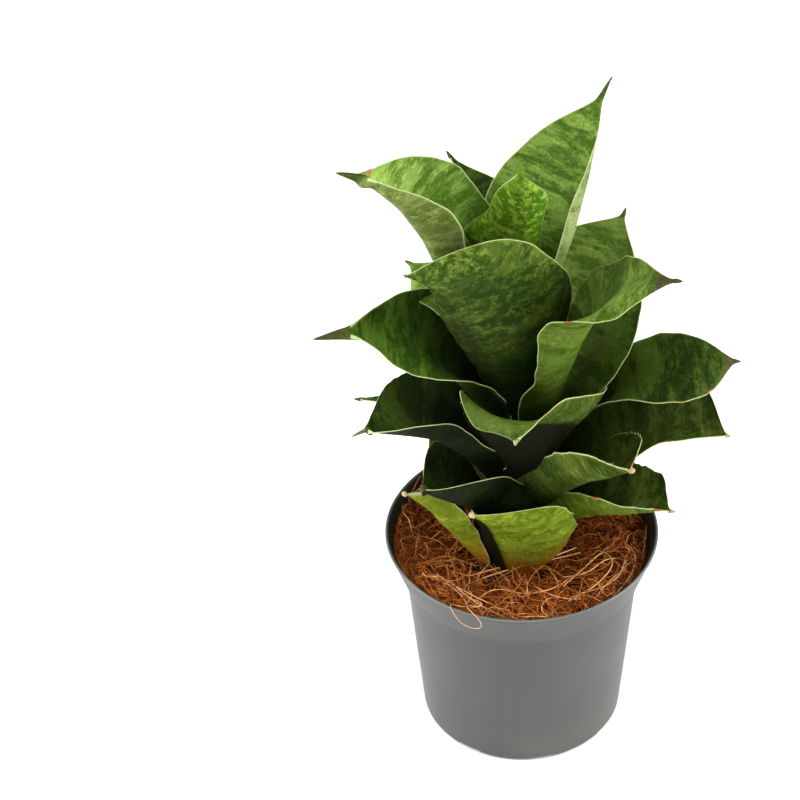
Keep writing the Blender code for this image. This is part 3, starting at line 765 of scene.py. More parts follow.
# The leaves from the coir up, with azimuth 0 at +X and counter-clockwise seen from above.
#   node, tip        heights of the base and of the tip above the coir at the stem
#   reach            distance of the tip from the pot's axis
#   lean             angle from the vertical at the base and at the tip
#   width            full width, pressed flat
#   cup              turn of each half from the midrib to the margin, at the middle and the tip
LEAVES = {
    "base_leaf_left": dict(
        azimuth=200, node=1, off=7, reach=54, tip=48, lean=(38, 50), width=56, cup=(80, 30), broad_at=0.5,
        halves=(0.7, 0.8), bead=1.2, ragged=0.3, skin="base",
        widen=((0,), (0, -4, -5, -6, -5)), sway=((0,), (0, 0, 1, 6, 7)),
    ),
    "base_leaf_back": dict(
        azimuth=80, node=1.5, off=2.5, reach=66, tip=24, lean=(55, 80), width=52, cup=(45, 20), bead=1.1,
        skin="base",
    ),
    "base_leaf_front": dict(
        azimuth=-106, swing=-14, node=1, off=5, reach=43, tip=52, lean=(31, 50), width=74, cup=(72, 50), lop=12,
        broad_at=0.6, base_share=0.55, point=0.9, halves=(0.27, 0.9), ripple=1.3, bead=1.3, ragged=1.1,
        skin="base_front", painted_shade=(1.0, 0),
        widen=((5, 7, 7, 6, 3), (6, 7, 6, 6, 5)), sway=((-4, -5, -5, -4, -2), (-4, -2, -2.5, 0, 2)),
    ),
    "base_leaf_back_left": dict(
        azimuth=126, node=8, reach=72, tip=32, lean=(44, 85), width=50, cup=(40, 20), halves=(1, 0.9), bead=1.1,
        skin="lower",
    ),
    "base_leaf_right": dict(
        azimuth=-18, node=13, reach=69, tip=40, lean=(36, 88), width=64, cup=(75, 30), lop=-20, broad_at=0.5,
        point=1.3, halves=(0.8, 0.8), spike=3, ragged=1.1, skin="lower",
        widen=((0, -6, -6, 0, 0), (0, 0, 0, 0, 0, 0, 2, 6, 10)), sway=((6, 10, 5, 2.5, 2), (0,)),
        dry=((0, 0.60, 2.2), (0, 0.90, 2.5)),
    ),
    "lower_leaf_left": dict(
        azimuth=206, swing=-4, node=14, reach=47, tip=49, lean=(33, 75), width=80, cup=(85, 60), lop=28,
        broad_at=0.7, point=0.8, clasp=0.7, halves=(0.7, 0.9), bead=1.3, ragged=0.7, skin="deep",
        widen=((0, 0, 2, 5, 6), (8, 8, 3, 0, 0)), sway=((0, 0, -2, -5, -7), (0, 0, 1, 4, 3)),
    ),
    "lower_leaf_back_right": dict(
        azimuth=60, node=18, reach=80, tip=50, lean=(42, 90), width=54, cup=(45, 20), halves=(0.85, 1),
        skin="lower",
    ),
    "lower_leaf_front_right": dict(
        azimuth=-45, node=25, reach=65, tip=84, lean=(24, 50), width=66, cup=(75, 30), lop=-30, broad_at=0.6,
        point=1, halves=(0.5, 0.5), bead=1.3, ragged=1.3, skin="sheath",
        widen=((4, 8, 3, 0, 0), (0, 3, 8, 13, 12)), sway=((5, 2, 5, 8.5, 9), (0,)), dry=((1, 0.93, 3.0),),
    ),
    "lower_leaf_back_left": dict(
        azimuth=152, node=27, reach=84, tip=53, lean=(20, 110), pull=(0.5, 0.4), width=40, cup=(40, 20),
        halves=(0.8, 0.35),
    ),
    "lower_leaf_back": dict(
        azimuth=88, node=31, reach=82, tip=77, lean=(34, 85), width=56, cup=(45, 20), halves=(1, 0.38),
    ),
    "middle_leaf_left": dict(
        azimuth=188, node=37, reach=73, tip=72, lean=(28, 120), pull=(0.55, 0.4), width=62, cup=(50, 30),
        lop=25, broad_at=0.6, point=1.2, halves=(0.85, 1), spike=9, ragged=0.6, skin="deep",
        widen=((4, 13, 12, 5, 4), (0, 0, -3, 0, 0)), sway=((0,), (8, 2, 4, 1.5, 0)),
    ),
    "lower_leaf_right": dict(
        azimuth=-6, node=40, reach=89, tip=72, lean=(38, 95), pull=(0.5, 0.4), width=60, cup=(62, 30), lop=20,
        broad_at=0.65, point=1, halves=(0.38, 0.74), spike=2.5, skin="lower",
        widen=((0, 8, 12, 5, 0), (0, 2, 6, 6, 3, -2, 0, 5, 10)), sway=((0, -4, -6, 0, 0), (0,)),
        dry=((0, 0.72, 1.8),),
    ),
    "middle_leaf_back": dict(
        azimuth=80, node=43, reach=80, tip=112, lean=(42, 85), width=60, cup=(45, 20), spike=8,
    ),
    "middle_leaf_front": dict(
        azimuth=-84, swing=-9, node=47.5, off=2.1, reach=51, tip=101, lean=(36, 125), pull=(0.55, 0.4),
        width=74, cup=(58, 30), lop=-10, broad_at=0.55, point=1, halves=(0.72, 0.9), spike=3, ragged=0.8,
        skin="shaded", painted_shade=(0.93, 0.96), unshaded=(0, 17),
        widen=((-4.5, -9, -0.5, 8, 8.5, 9, 8, 7.5, 10, 8, 3), (-7, -2, 2, 3.5, -5.6, -8, -6)),
        sway=((0, 0, -1, -2, -2.5, -3, -2, -2, -6, -12, -6), (6, 19, 18, 7.5, 5, 4.8, 3.4)),
    ),
    "middle_leaf_right": dict(
        azimuth=2, node=56, reach=92, tip=102, lean=(35, 100), pull=(0.45, 0.4), width=70, cup=(30, 15), lop=25,
        broad_at=0.55, point=1.1, clasp=0.55, halves=(0.52, 0.66), spike=3, dark_tip=9,
        widen=((-4, -7, -6, -3, 0, 6, 10, 12, 10), (0, 0, -4, -8, -9, -7, -4, -1, 1)),
        sway=((1, 3, 5, 5, 3, 1, -0.5, -3, -4), (0,)), dry=((0, 0.86, 1.8),),
    ),
    "upper_leaf_back_right": dict(
        azimuth=40, swing=8, node=62.5, off=1.2, reach=66, tip=149, lean=(32, 40), width=72, cup=(40, 20),
        broad_at=0.5, point=1.2, halves=(1, 0.95), spike=4, dark_tip=6, skin="upper",
        widen=((0,), (0, 0, 0, 0, 0, 5, 9, 9, 7)),
    ),
    "upper_leaf_left": dict(
        azimuth=190, node=63, reach=87, tip=128, lean=(22, 95), pull=(0.55, 0.4), width=68, cup=(42, 20),
        lop=-8, point=1.6, clasp=0.95, halves=(0.8, 0.48), spike=17, spike_radius=2.0, skin="side",
        widen=((0, 0, 5, 5, 4), (0, 0, 6, 10, 6)), sway=((0, 0, 1.5, 2.5, 3), (10, 5, -4, -6, 0)),
    ),
    "upper_leaf_right": dict(
        azimuth=-24, node=70, off=1.3, reach=70, tip=167, lean=(18, 78), pull=(0.5, 0.35), width=62,
        cup=(60, 20), halves=(0.9, 0.8), ripple=3, spike=4, spike_radius=1.2, dark_tip=15, skin="upper",
        widen=((0, -2, -2, 4, 8), (-6, -9, 4, 4, 2)), sway=((0, 0, 0, -5, -5.5), (0,)), dry=((0, 0.61, 2.4),),
    ),
    "upper_leaf_back_left": dict(
        azimuth=143, node=75, reach=62, tip=130, lean=(20, 85), pull=(0.5, 0.4), width=56, cup=(45, 20),
        halves=(0.9, 0.35), spike=3, skin="crown_left",
        widen=((0, 0, 0, 2, 4), (0, 0, 4, 8, 11)), sway=((0,), (0, 0, 0, -2, -4)),
    ),
    "upper_leaf_front": dict(
        azimuth=238, swing=-34, hook=6, node=80, off=1.9, reach=52, tip=165, lean=(20, 75), pull=(0.45, 0.3),
        width=84, cup=(60, 30), broad_at=0.6, point=1.1, halves=(0.25, 1.15), roll=(0, 58, 30), spike=1.6,
        spike_radius=0.7, skin="front", painted_shade=(0.55, 0),
        widen=((0, 0, 3, 5, 5, 3, 0), (0, 0, 0, 0, -5, -2, 4)), sway=((0,), (0, 0, 0, 0, 2, 5.5, 4.5)),
    ),
    "crown_leaf_back_left": dict(
        azimuth=143, node=90, reach=50, tip=162, lean=(22, 38), width=68, cup=(50, 25), halves=(1, 0.7),
        spike=8, skin="upper",
        widen=((0,), (0, 2, 6, 6, 3)),
    ),
    "crown_leaf_left": dict(
        azimuth=188, node=100, off=1.1, reach=74, tip=207, lean=(32, 75), pull=(0.4, 0.3), width=64,
        cup=(88, 30), halves=(0.85, 0.8), spike=13, spike_radius=2.0, dark_tip=6, skin="crown_left",
        widen=((4, 10, 10, 12, 8), (-3, -6, -8, 0, 6)), sway=((0, 3, 3, 4, 1.5), (0, 2, 4, 9, 4)),
        dry=((0, 0.88, 2.2),),
    ),
    "crown_leaf_back": dict(
        azimuth=113, swing=13, node=108, reach=53, tip=182, lean=(26, 52), width=34, cup=(40, 20),
        halves=(1, 0.45), spike=4,
        widen=((0, 2, 4, 5, 4), (0, 2, 2, 2, 2)),
    ),
    "crown_leaf_back_right": dict(
        azimuth=66, swing=-13, node=115, reach=62, tip=214, lean=(15, 42), width=58, cup=(65, 35), lop=-35,
        halves=(1.05, 0.8), spike=12, spike_radius=1.2, skin="crown",
        widen=((0, 0, 6, 8, 5), (0, 3, 6, 6, 5)), sway=((0, 0, -2, -2, -3), (0,)),
    ),
    "heart_leaf": dict(
        azimuth=-130, swing=38, hook=-20, node=130, reach=6, tip=209, lean=(5, -4), width=48, cup=(68, 35),
        broad_at=0.32, base_share=0.6, point=1.2, halves=(1.15, 0.75), spike=7, skin="heart",
        widen=((0, 8, 2, -3, 0), (-3, -5, -5, -1, 6)), sway=((0, -9, -3, 2, 4), (0,)),
    ),
}

def colouring(inner, outer, base_tint_and_shade, base_reach, tip, bands=0.8, blotches=0.5, specks=0.2):
    """One skin. Each face has a dark ground and a pale mottling over it.

    base_tint_and_shade       colour that the base fades to: orange-brown on the lowest leaves, a painted shade on the rest
    base_reach                how far up it fades, as a share of the length
    tip                       colour of the round tip
    bands, blotches, specks   how strongly broad bands, blotches and fine specks lighten the ground
    """
    colours = dict(inner_dark=inner[0], inner_pale=inner[1], outer_dark=outer[0], outer_pale=outer[1])
    shares = dict(bands=bands, blotches=blotches, specks=specks, base_reach=base_reach)
    return colours | dict(base_tint_and_shade=base_tint_and_shade, tip_colour=tip) | shares


# Painted shade: all skins but base and base_front fade at the foot to a dark green or near-black base tint, for
# the shade where the leaves crowd round the stem; on shaded, deep, sheath, front and side it is near black and
# reaches far up the leaf. The orange-brown base of base and base_front is the leaves' own colour.
SKINS = {
    "base": colouring(
        ((0.020, 0.038, 0.003), (0.08, 0.11, 0.015)), ((0.125, 0.170, 0.005), (0.32, 0.38, 0.04)),
        (0.32, 0.115, 0.010), 0.48, (0.50, 0.40, 0.24), bands=0.9, blotches=0.8, specks=0.3,
    ),
    "base_front": colouring(
        ((0.020, 0.038, 0.003), (0.08, 0.11, 0.015)), ((0.075, 0.120, 0.003), (0.23, 0.29, 0.022)),
        (0.30, 0.105, 0.008), 0.48, (0.50, 0.40, 0.24), bands=1.0, blotches=1.0, specks=0.3,
    ),
    "lower": colouring(
        ((0.018, 0.035, 0.002), (0.13, 0.18, 0.028)), ((0.055, 0.100, 0.004), (0.17, 0.23, 0.025)),
        (0.02, 0.03, 0.003), 0.35, (0.42, 0.28, 0.14), bands=0.6, specks=0.25,
    ),
    "middle": colouring(
        ((0.009, 0.022, 0.001), (0.085, 0.140, 0.014)), ((0.034, 0.070, 0.003), (0.13, 0.20, 0.025)),
        (0.010, 0.018, 0.001), 0.35, (0.06, 0.052, 0.018),
    ),
    "shaded": colouring(
        ((0.032, 0.066, 0.004), (0.15, 0.22, 0.035)), ((0.040, 0.080, 0.003), (0.22, 0.30, 0.05)),
        (0.002, 0.003, 0.001), 1.1, (0.30, 0.34, 0.16), bands=0.7,
    ),
    # deep: the outer face is painted near black, painted shade for the leaves that stand in shadow among the
    # others.
    "deep": colouring(
        ((0.010, 0.024, 0.001), (0.060, 0.100, 0.010)), ((0.003, 0.006, 0.001), (0.013, 0.022, 0.003)),
        (0.003, 0.004, 0.001), 0.7, (0.14, 0.10, 0.045),
    ),
    "sheath": colouring(
        ((0.018, 0.035, 0.002), (0.085, 0.125, 0.018)), ((0.022, 0.046, 0.002), (0.13, 0.18, 0.024)),
        (0.003, 0.005, 0.001), 0.75, (0.42, 0.28, 0.14), bands=0.7, blotches=0.8, specks=0.25,
    ),
    "upper": colouring(
        ((0.044, 0.092, 0.005), (0.24, 0.34, 0.065)), ((0.042, 0.082, 0.004), (0.165, 0.245, 0.036)),
        (0.012, 0.024, 0.001), 0.35, (0.055, 0.050, 0.018), blotches=0.6, specks=0.3,
    ),
    "front": colouring(
        ((0.040, 0.080, 0.006), (0.15, 0.21, 0.05)), ((0.026, 0.066, 0.002), (0.20, 0.29, 0.04)),
        (0.002, 0.007, 0.001), 1.28, (0.14, 0.17, 0.06), bands=0.7, blotches=1.0, specks=0.3,
    ),
    "crown": colouring(
        ((0.036, 0.085, 0.004), (0.22, 0.34, 0.06)), ((0.105, 0.155, 0.028), (0.29, 0.36, 0.13)),
        (0.03, 0.06, 0.003), 0.25, (0.04, 0.065, 0.010), bands=1.0, blotches=0.6, specks=0.7,
    ),
    "crown_left": colouring(
        ((0.065, 0.145, 0.008), (0.34, 0.50, 0.11)), ((0.080, 0.120, 0.016), (0.23, 0.29, 0.08)),
        (0.02, 0.05, 0.002), 0.3, (0.04, 0.065, 0.010), bands=1.0, blotches=0.7, specks=0.7,
    ),
    "side": colouring(
        ((0.020, 0.052, 0.002), (0.12, 0.21, 0.022)), ((0.034, 0.070, 0.003), (0.13, 0.20, 0.025)),
        (0.003, 0.008, 0.001), 0.85, (0.06, 0.052, 0.018),
    ),
    "heart": colouring(
        ((0.05, 0.12, 0.005), (0.18, 0.28, 0.03)), ((0.036, 0.105, 0.002), (0.21, 0.33, 0.03)),
        (0.02, 0.06, 0.002), 0.25, (0.09, 0.18, 0.010), bands=0.4, blotches=1.0, specks=0.8,
    ),
}
CREAM = (0.42, 0.50, 0.22)
DRY_MARGIN = (0.36, 0.17, 0.06)
DRY_SPOT = (0.40, 0.14, 0.06)
# Colour of the painted shade on the outer faces of three leaves, where they stand in deep shade.
PAINTED_SHADE_COLOUR = (0.0035, 0.004, 0.001)


def heading(azimuth, lean=90.0):
    """Unit vector at this azimuth, leaning so far from the vertical."""
    azimuth, lean = np.radians(azimuth), np.radians(lean)
    level = np.sin(lean)
    return np.stack([level * np.cos(azimuth), level * np.sin(azimuth), np.cos(lean) + 0 * azimuth], -1)


def eased(share):
    """0 to 1 with level ends."""
    share = np.clip(share, 0, 1)
    return share * share * (3 - 2 * share)


def through(values, along):
    """Smooth value that passes through one at the base, one at the middle and one at the tip."""
    base, middle, tip = values
    rest = 1 - along
    return base * rest * (1 - 2 * along) + 4 * middle * along * rest + tip * along * (2 * along - 1)


def stations(values, along):
    """Smooth curve through evenly spaced values between base and tip, and zero at both ends."""
    knots = np.array([0, 0, *values, 0, 0], float)
    place = np.clip(along, 0, 1) * (len(values) + 1)
    first = np.minimum(place.astype(int), len(values))
    share = place - first
    before, start, end, after = (knots[first + step] for step in range(4))
    slope = (end - before) / 2
    exit_slope = (after - start) / 2
    rest = 1 - share
    return (
        start * (1 + 2 * share) * rest**2 + slope * share * rest**2
        + end * share**2 * (3 - 2 * share) - exit_slope * share**2 * rest
    )


def unit(vectors):
    return vectors / np.linalg.norm(vectors, axis=-1, keepdims=True)


def dot(first, second):
    return (first * second).sum(axis=-1, keepdims=True)


def midrib(leaf, along):
    """The midrib's points, and the directions along it, across it and out of its inner face."""
    tip_azimuth = leaf["azimuth"] + leaf["swing"]
    tip_heading = leaf["azimuth"] + 2 * leaf["swing"] + leaf["hook"]
    against_stem = stem_radius(leaf["node"]) + CLEARANCE + LEAF_THICKNESS / 2
    base = heading(leaf["azimuth"]) * (against_stem + leaf["off"])
    base[2] = coir_at_stem + leaf["node"]
    tip = heading(tip_azimuth) * leaf["reach"]
    tip[2] = coir_at_stem + leaf["tip"]
    length = np.linalg.norm(tip - base)
    after_base = base + heading(leaf["azimuth"], leaf["lean"][0]) * length * leaf["pull"][0]
    before_tip = tip - heading(tip_heading, leaf["lean"][1]) * length * leaf["pull"][1]
    share = along[:, None]
    first = base + (after_base - base) * share
    second = after_base + (before_tip - after_base) * share
    third = before_tip + (tip - before_tip) * share
    before, after = first + (second - first) * share, second + (third - second) * share
    forward = unit(after - before)
    across = heading(leaf["azimuth"] + (tip_heading - leaf["azimuth"]) * along + 90)
    across = unit(across - forward * dot(across, forward))
    inward = np.cross(forward, across)
    roll = np.radians(through(leaf["roll"], along))[:, None]
    across = across * np.cos(roll) + inward * np.sin(roll)
    return before + (after - before) * share, across, np.cross(forward, across)


def outline(leaf, along):
    """The blade's width there, as a share of its full width."""
    broad = leaf["broad_at"]
    opening = leaf["base_share"] + (1 - leaf["base_share"]) * np.sin(pi / 2 * along / broad)
    past = np.clip((along - broad) / (1 - broad), 0, 1)
    return np.where(along < broad, opening, (1 - past) ** leaf["point"] * (1 + leaf["point"] * past))


def wobble(seed, *scales):
    """A smooth random function of two lengths, about -1 to 1, with waves of these lengths."""
    random = np.random.default_rng(seed)
    waves = [(length, random.uniform(0, tau), random.uniform(0, tau)) for length in scales for _ in range(3)]

    def value(across, lengthways):
        total = 0
        for length, turn, phase in waves:
            total = total + np.sin(tau * (across * cos(turn) + lengthways * sin(turn)) / length + phase)
        return total / len(waves) * 1.6

    return value


def round_tip(leaf, left):
    """Length of the round tip, its radius and how round the leaf is, by the length left to the end."""
    bead = leaf["bead"]
    if bead:
        tip_length = 2 * bead
        neck = 0.45 * np.clip((6 * bead - left) / (2 * bead), 0, 1)
        ball = np.sqrt(np.clip(bead**2 - (left - bead) ** 2, 0, None))
        rod = np.maximum(ball, np.where(left < 2 * bead, 0, neck))
    else:
        tip_length = leaf["spike"]
        rod = leaf["spike_radius"] * np.clip(left / tip_length, 0, 1) ** 0.55
        rod = rod * eased((3 * tip_length - left) / tip_length)
    return tip_length, rod, eased((1.25 * tip_length - left) / (0.5 * tip_length))


def thickness(along, side, widths, from_margin, round_share):
    """Fleshy at the midrib, thin with a rounded edge at the margin, and round in the tip."""
    flesh = MARGIN_SHARE + (1 - MARGIN_SHARE) * (1 - side**2)[None, :] * (1 - TIP_THINNING * along)[:, None]
    thick = LEAF_THICKNESS * flesh
    thin = eased(1 - from_margin / MARGIN_TAPER)
    thick = thick * (1 - thin) + MARGIN_THICKNESS * thin
    edge = np.clip(from_margin / (MARGIN_THICKNESS / 2), 0, 1)
    thick = thick * np.sqrt(1 - (1 - edge) ** 2)
    rounded = 2 * widths * np.sqrt(np.clip(1 - side**2, 0, 1))[None, :]
    return thick * (1 - round_share[:, None]) + rounded * round_share[:, None]


def leaf_surface(leaf, seed):
    """The leaf's middle surface by rows and columns, its thickness, and the measures that its skin uses."""
    along = 1 - (1 - np.linspace(0, LAST_ROW, LEAF_ROWS)) ** ROW_CROWDING
    side = np.sin(np.linspace(-pi / 2, pi / 2, LEAF_COLUMNS))
    point, across, inward = midrib(leaf, along)
    steps = np.linalg.norm(np.diff(point, axis=0), axis=1)
    run = np.concatenate([[0], np.cumsum(steps)])
    length = run[-1]
    left = length - run + END_POINT

    # The round tip goes on past the blade, whose two margins meet at its foot.
    tip_length, rod, round_share = round_tip(leaf, left)
    blade = np.clip(along / (1 - 0.7 * tip_length / length), 0, 1)
    nicks = wobble(seed + 50, 2.6, 6, 11)
    swell = wobble(seed + 100, 17, 30)
    fringe = wobble(seed + 150, 9, 16)
    points = np.empty((LEAF_ROWS, LEAF_COLUMNS, 3))
    flat = np.empty((LEAF_ROWS, LEAF_COLUMNS))
    widths = np.empty((LEAF_ROWS, LEAF_COLUMNS))
    reach = np.maximum(np.hypot(point[:, 0], point[:, 1]), 1.2)
    cup = leaf["cup"][0] + (leaf["cup"][1] - leaf["cup"][0]) * np.maximum(2 * along - 1, 0)
    opened = eased(along / leaf["clasp"])
    fade = np.minimum(1, 4 * along) * np.minimum(1, 4 * (1 - along))
    for half, sign in ((0, -1), (1, 1)):
        columns = np.nonzero(side * sign >= 0)[0]
        out = np.abs(side[columns])[None, :]
        wide = leaf["width"] / 2 * outline(leaf, blade) * leaf["halves"][half]
        wide = wide + stations(leaf["widen"][half], blade)
        nicked = leaf["ragged"] * nicks(40.0 * half, run)
        wide = wide + nicked * np.minimum(1, wide / 6) * np.minimum(1, 3 * along)
        wide = np.maximum(np.hypot(wide, rod), 0.05)
        wrap = np.minimum(wide / reach, radians(MOST_WRAP))
        turn = wrap * (1 - opened) + np.radians(cup) * opened
        turn = (turn + sign * radians(leaf["lop"]) * np.sin(pi * along))[:, None]
        turn = np.where(np.abs(turn) < 1e-4, 1e-4, turn)
        wide = wide[:, None]
        sideways = wide * np.sin(turn * out) / turn
        inwards = wide * (1 - np.cos(turn * out)) / turn
        wave = np.sin(tau * (RIPPLES * along + RIPPLE_START + RIPPLE_LAG * half))
        inwards = inwards + (leaf["ripple"] * wave * fade)[:, None] * out**MARGIN_POWER
        inwards = inwards + stations(leaf["sway"][half], along)[:, None] * out**MARGIN_POWER
        gentle = fade[:, None] * np.minimum(1, wide / 8)
        inwards = inwards + SWELL * swell(sign * sideways, run[:, None]) * gentle
        inwards = inwards + FRINGE * fringe(60.0 * half, run[:, None]) * gentle * out**3
        blade_point = point[:, None] + sign * sideways[..., None] * across[:, None]
        points[:, columns] = blade_point + inwards[..., None] * inward[:, None]
        flat[:, columns] = sign * out * wide
        widths[:, columns] = wide

    normal = unit(np.cross(np.gradient(points, axis=0), np.gradient(points, axis=1)))
    from_margin = widths * (1 - np.abs(side))[None, :]
    thick = thickness(along, side, widths, from_margin, round_share)
    return points, normal, thick, flat, from_margin, point, along, run, left, tip_length


def leaf_mesh(name, leaf, seed):
    """A closed leaf: rings of points round the blade, from the base to the tip."""
    points, normal, thick, flat, from_margin, point, along, run, left, tip_length = leaf_surface(leaf, seed)
    inner = points + normal * thick[..., None] / 2
    outer = (points - normal * thick[..., None] / 2)[:, -2:0:-1]
    rings = np.concatenate([inner, outer], axis=1)
    tip = point[-1] + unit(point[-1] - point[-2]) * END_POINT
    size = rings.shape[1]
    index, after, faces = ring_quads(LEAF_ROWS, size)
    apex = LEAF_ROWS * size
    faces += [(int(a), apex, int(b)) for a, b in zip(index[-1], after[-1])] + [index[0].tolist()]
    mesh = bpy.data.meshes.new(name)
    mesh.from_pydata((np.concatenate([rings.reshape(-1, 3), [tip]]) * MM).tolist(), [], faces)

    def ringed(values):
        values = np.broadcast_to(values, (LEAF_ROWS, LEAF_COLUMNS))
        ring = np.concatenate([values, values[:, -2:0:-1]], axis=1).reshape(-1)
        return np.append(ring, ring[-1])

    beyond = np.clip(0.9 * tip_length - left, 0, None)[:, None] * 3
    dry = np.zeros((LEAF_ROWS, LEAF_COLUMNS))
    for half, place, spot in leaf["dry"]:
        far = np.abs(run - np.interp(place, along, run))[:, None]
        near = 1 - np.hypot(far, from_margin) / spot
        near[:, (np.arange(LEAF_COLUMNS) * 2 > LEAF_COLUMNS) != half] = 0
        dry = np.maximum(dry, near)
    # Painted shade: the outer face of each half is darkened by its given strength, fully from the given
    # distance in from the margin, for the deep shade between the leaves.
    painted_shade = np.zeros((LEAF_ROWS, LEAF_COLUMNS))
    for side, strength, unshaded in zip((-1, 1), leaf["painted_shade"], leaf["unshaded"]):
        reached = np.clip((from_margin - unshaded) / PAINTED_SHADE_FADE + 1, 0, 1)
        painted_shade = painted_shade + strength * reached * np.clip(flat * side / MIDRIB_FADE + 0.5, 0, 1)
    outside = np.append(np.tile(np.arange(size) >= LEAF_COLUMNS, LEAF_ROWS), True).astype(float)
    for attribute, values in (
        ("margin", ringed(from_margin + beyond) * MM), ("outer", outside),
        ("along", ringed(along[:, None])), ("tip_left", ringed(left[:, None]) * MM), ("dry", ringed(dry)),
        ("painted_shade", ringed(painted_shade)),
    ):
        mesh.attributes.new(attribute, "FLOAT", "POINT").data.foreach_set("value", values.astype(np.float32))
    corner = np.empty(len(mesh.loops), np.int32)
    mesh.loops.foreach_get("vertex_index", corner)
    grid = np.stack([ringed(flat), ringed(run[:, None])], axis=-1)[corner] * MM
    mesh.uv_layers.new(name="blade").data.foreach_set("uv", grid.astype(np.float32).reshape(-1))
    mesh.shade_smooth()
    return mesh, max(tip_length, leaf["dark_tip"])


def leaf_pattern():
    """The leaf's skin: mottled faces, cream margin, a base tinted orange-brown on the lowest leaves and
    darkened with painted shade on the rest, painted shade on some outer faces, a tinted tip, and its fine
    relief.
    """
    tree = bpy.data.node_groups.new("leaf_pattern", "ShaderNodeTree")
    for in_out, kind, names in (
        ("INPUT", "Color", ("inner_dark", "inner_pale", "outer_dark", "outer_pale", "base_tint_and_shade", "tip_colour")),
        ("INPUT", "Float", ("bands", "blotches", "specks", "base_reach", "tip_length", "seed")),
        ("OUTPUT", "Color", ("colour",)),
        ("OUTPUT", "Float", ("roughness", "height")),
    ):
        for name in names:
            tree.interface.new_socket(name, in_out=in_out, socket_type=f"NodeSocket{kind}")
    given = node(tree, "NodeGroupInput").outputs
    outer, along, margin, left, dry, painted_shade = (
        stored(tree, name) for name in ("outer", "along", "margin", "tip_left", "dry", "painted_shade")
    )
    outer = ranged(outer, 0.3, 0.7)
    blade = node(tree, "ShaderNodeUVMap", uv_map="blade").outputs[0]
    depth = plus(given["seed"], times(outer, 3.7))

    def mottle(across_scale, along_scale, detail, roughness, distortion=0.0, shift=0.0):
        place = stretched(blade, across_scale, along_scale, 1)
        return grain(place, 1.0, detail, roughness, distortion, W=plus(depth, shift))

    bands = ranged(mottle(32, 130, 5, 0.68, 0.5), 0.44, 0.57)
    blotches = ranged(mottle(300, 420, 7, 0.8, 0.25, 2.0), 0.485, 0.55)
    flecks = ranged(mottle(230, 600, 5, 0.75, 0.3, 13.0), 0.54, 0.62)
    specks = ranged(mottle(620, 900, 3, 0.6, 0.2, 4.0), 0.55, 0.68)
    cloud = mottle(45, 60, 2, 0.5, 0.0, 6.0)
    streaks = mottle(900, 45, 2, 0.5, 0.0, 8.0)

    # The two faces: a pale mottling over the dark ground, then darker flecks and fine streaks.
    patchy = ranged(cloud, 0.35, 0.6, 0.35, 1.0)
    broken = times(blotches, given["blotches"], patchy, plus(0.45, times(outer, 0.35)))
    pale = plus(times(bands, given["bands"], 0.55), broken, times(specks, given["specks"], 0.35))
    pale = math("MINIMUM", times(pale, ranged(along, 0.05, 0.55, 0.25, 1.0)), 1.0)
    inside = mixed(pale, given["inner_dark"], given["inner_pale"])
    colour = mixed(outer, inside, mixed(pale, given["outer_dark"], given["outer_pale"]))
    colour = mixed(times(flecks, 0.75), colour, (0.45, 0.52, 0.4), "MULTIPLY")
    colour = mixed(ranged(streaks, 0.35, 0.65, 0.0, 0.16), colour, (0.4, 0.42, 0.3), "MULTIPLY")
    # The foot fades to the base tint: orange-brown on the lowest leaves, and on the others a painted shade,
    # dark green to near black, for the shade where the leaves crowd round the stem.
    fade = plus(along, times(math("SUBTRACT", cloud, 0.5), 0.3))
    colour = mixed(ranged(fade, given["base_reach"], 0.0, 0.0, 0.95), colour, given["base_tint_and_shade"])

    # The margin: a soft pale band, the outer face darkened with painted shade, the cream or dried line, and
    # dried spots.
    worn = ranged(mottle(70, 70, 2, 0.6, 0.0, 11.0), 0.58, 0.68)
    edge = mixed(worn, CREAM, DRY_MARGIN)
    colour = mixed(ranged(margin, 0.0013, 0.0003, 0.0, 0.25), colour, given["outer_pale"])
    colour = mixed(times(painted_shade, outer), colour, PAINTED_SHADE_COLOUR)
    colour = mixed(ranged(margin, 0.00036, 0.00014), colour, edge)
    colour = mixed(ranged(dry, 0.25, 0.6), colour, DRY_SPOT)

    # The round tip, and the relief.
    tipped = ranged(plus(left, times(specks, 0.001)), given["tip_length"], times(given["tip_length"], 0.6))
    tip_shade = mixed(ranged(specks, 0.0, 1.0, 0.0, 0.5), given["tip_colour"], given["outer_pale"])
    colour = mixed(tipped, colour, tip_shade)
    roughness = plus(ranged(cloud, 0.3, 0.7, 0.46, 0.56), times(pale, 0.08))
    relief = plus(times(blotches, 0.4), times(streaks, 0.35), times(bands, 0.5))
    node(tree, "NodeGroupOutput", {"colour": colour, "roughness": roughness, "height": relief})
    return tree


pattern = leaf_pattern()


def leaf_skin(name, skin, **measures):
    made, shader = new_material(name)
    placed = node(shader.id_data, "ShaderNodeGroup", node_tree=pattern)
    for socket, value in (skin | measures).items():
        give(placed.inputs[socket], value)
    feed(shader, Base_Color=placed.outputs["colour"], Roughness=placed.outputs["roughness"])
    feed(shader, Specular_IOR_Level=0.05)
    bump(shader, placed.outputs["height"], 0.0004, 0.8)
    return made


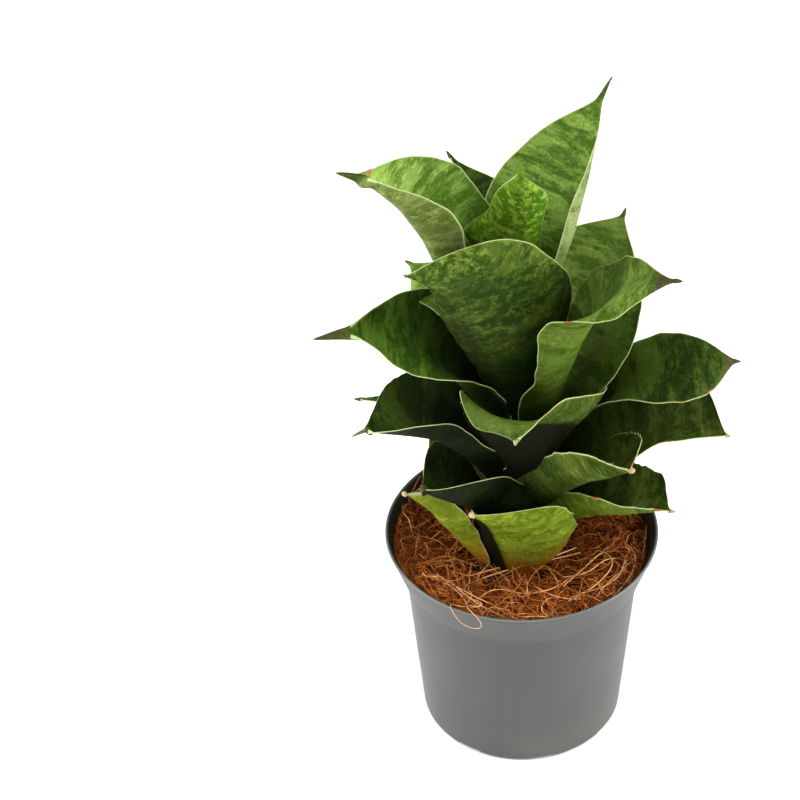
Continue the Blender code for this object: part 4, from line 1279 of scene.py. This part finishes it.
for seed, (name, shape) in enumerate(LEAVES.items(), 1):
    leaf = PLAIN_LEAF | shape
    mesh, tip_length = leaf_mesh(f"{name}_blade", leaf, seed)
    blade = add_piece(f"{name}_blade", mesh)
    skin = leaf_skin(f"{name}_skin", SKINS[leaf["skin"]], tip_length=tip_length * MM, seed=seed * 5.3)
    mesh.materials.append(skin)
    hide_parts(name)
    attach(blade, "root")


# Floor and light ----------------------------------------------------------------------------
# A plain white floor in a bright tent of soft light: large panels on both sides and above,
# and a weaker one at the front, so that the front of the pot is darker than its sides.

FLOOR_REACH = 4
corners = [(x * FLOOR_REACH, y * FLOOR_REACH, 0) for x, y in ((-1, -1), (1, -1), (1, 1), (-1, 1))]
floor_mesh = bpy.data.meshes.new("floor")
floor_mesh.from_pydata(corners, [], [(0, 1, 2, 3)])
floor = add_piece("floor", floor_mesh)
floor_paint, floor_shader = new_material("floor_paint")
feed(floor_shader, Base_Color=(0.93, 0.93, 0.93), Roughness=0.9)
floor_mesh.materials.append(floor_paint)

# Each panel's place in metres, its side in metres and its power in watts.
PANELS = (
    ((-1.08, -0.12, 0.6), 1.0, 22.0),
    ((1.1, -0.02, 0.6), 1.0, 26.0),
    ((-0.1, -0.5, 1.6), 1.0, 14.0),
    ((0.1, -1.5, 1.0), 0.8, 4.2),
)
PANEL_AIM = Vector((0, 0, 0.12))
TENT_GLOW = 0.36

for number, (place, size, power) in enumerate(PANELS):
    lamp = bpy.data.lights.new(f"panel_{number}", "AREA")
    lamp.shape = "SQUARE"
    lamp.size = size
    lamp.energy = power
    panel = bpy.data.objects.new(lamp.name, lamp)
    panel.location = place
    panel.rotation_euler = (PANEL_AIM - Vector(place)).to_track_quat("-Z", "Y").to_euler()
    scene.collection.objects.link(panel)

world = bpy.data.worlds.new("tent")
world.use_nodes = True
world.node_tree.nodes["Background"].inputs["Color"].default_value = (1, 1, 1, 1)
world.node_tree.nodes["Background"].inputs["Strength"].default_value = TENT_GLOW
scene.world = world
scene.view_settings.view_transform = "Standard"
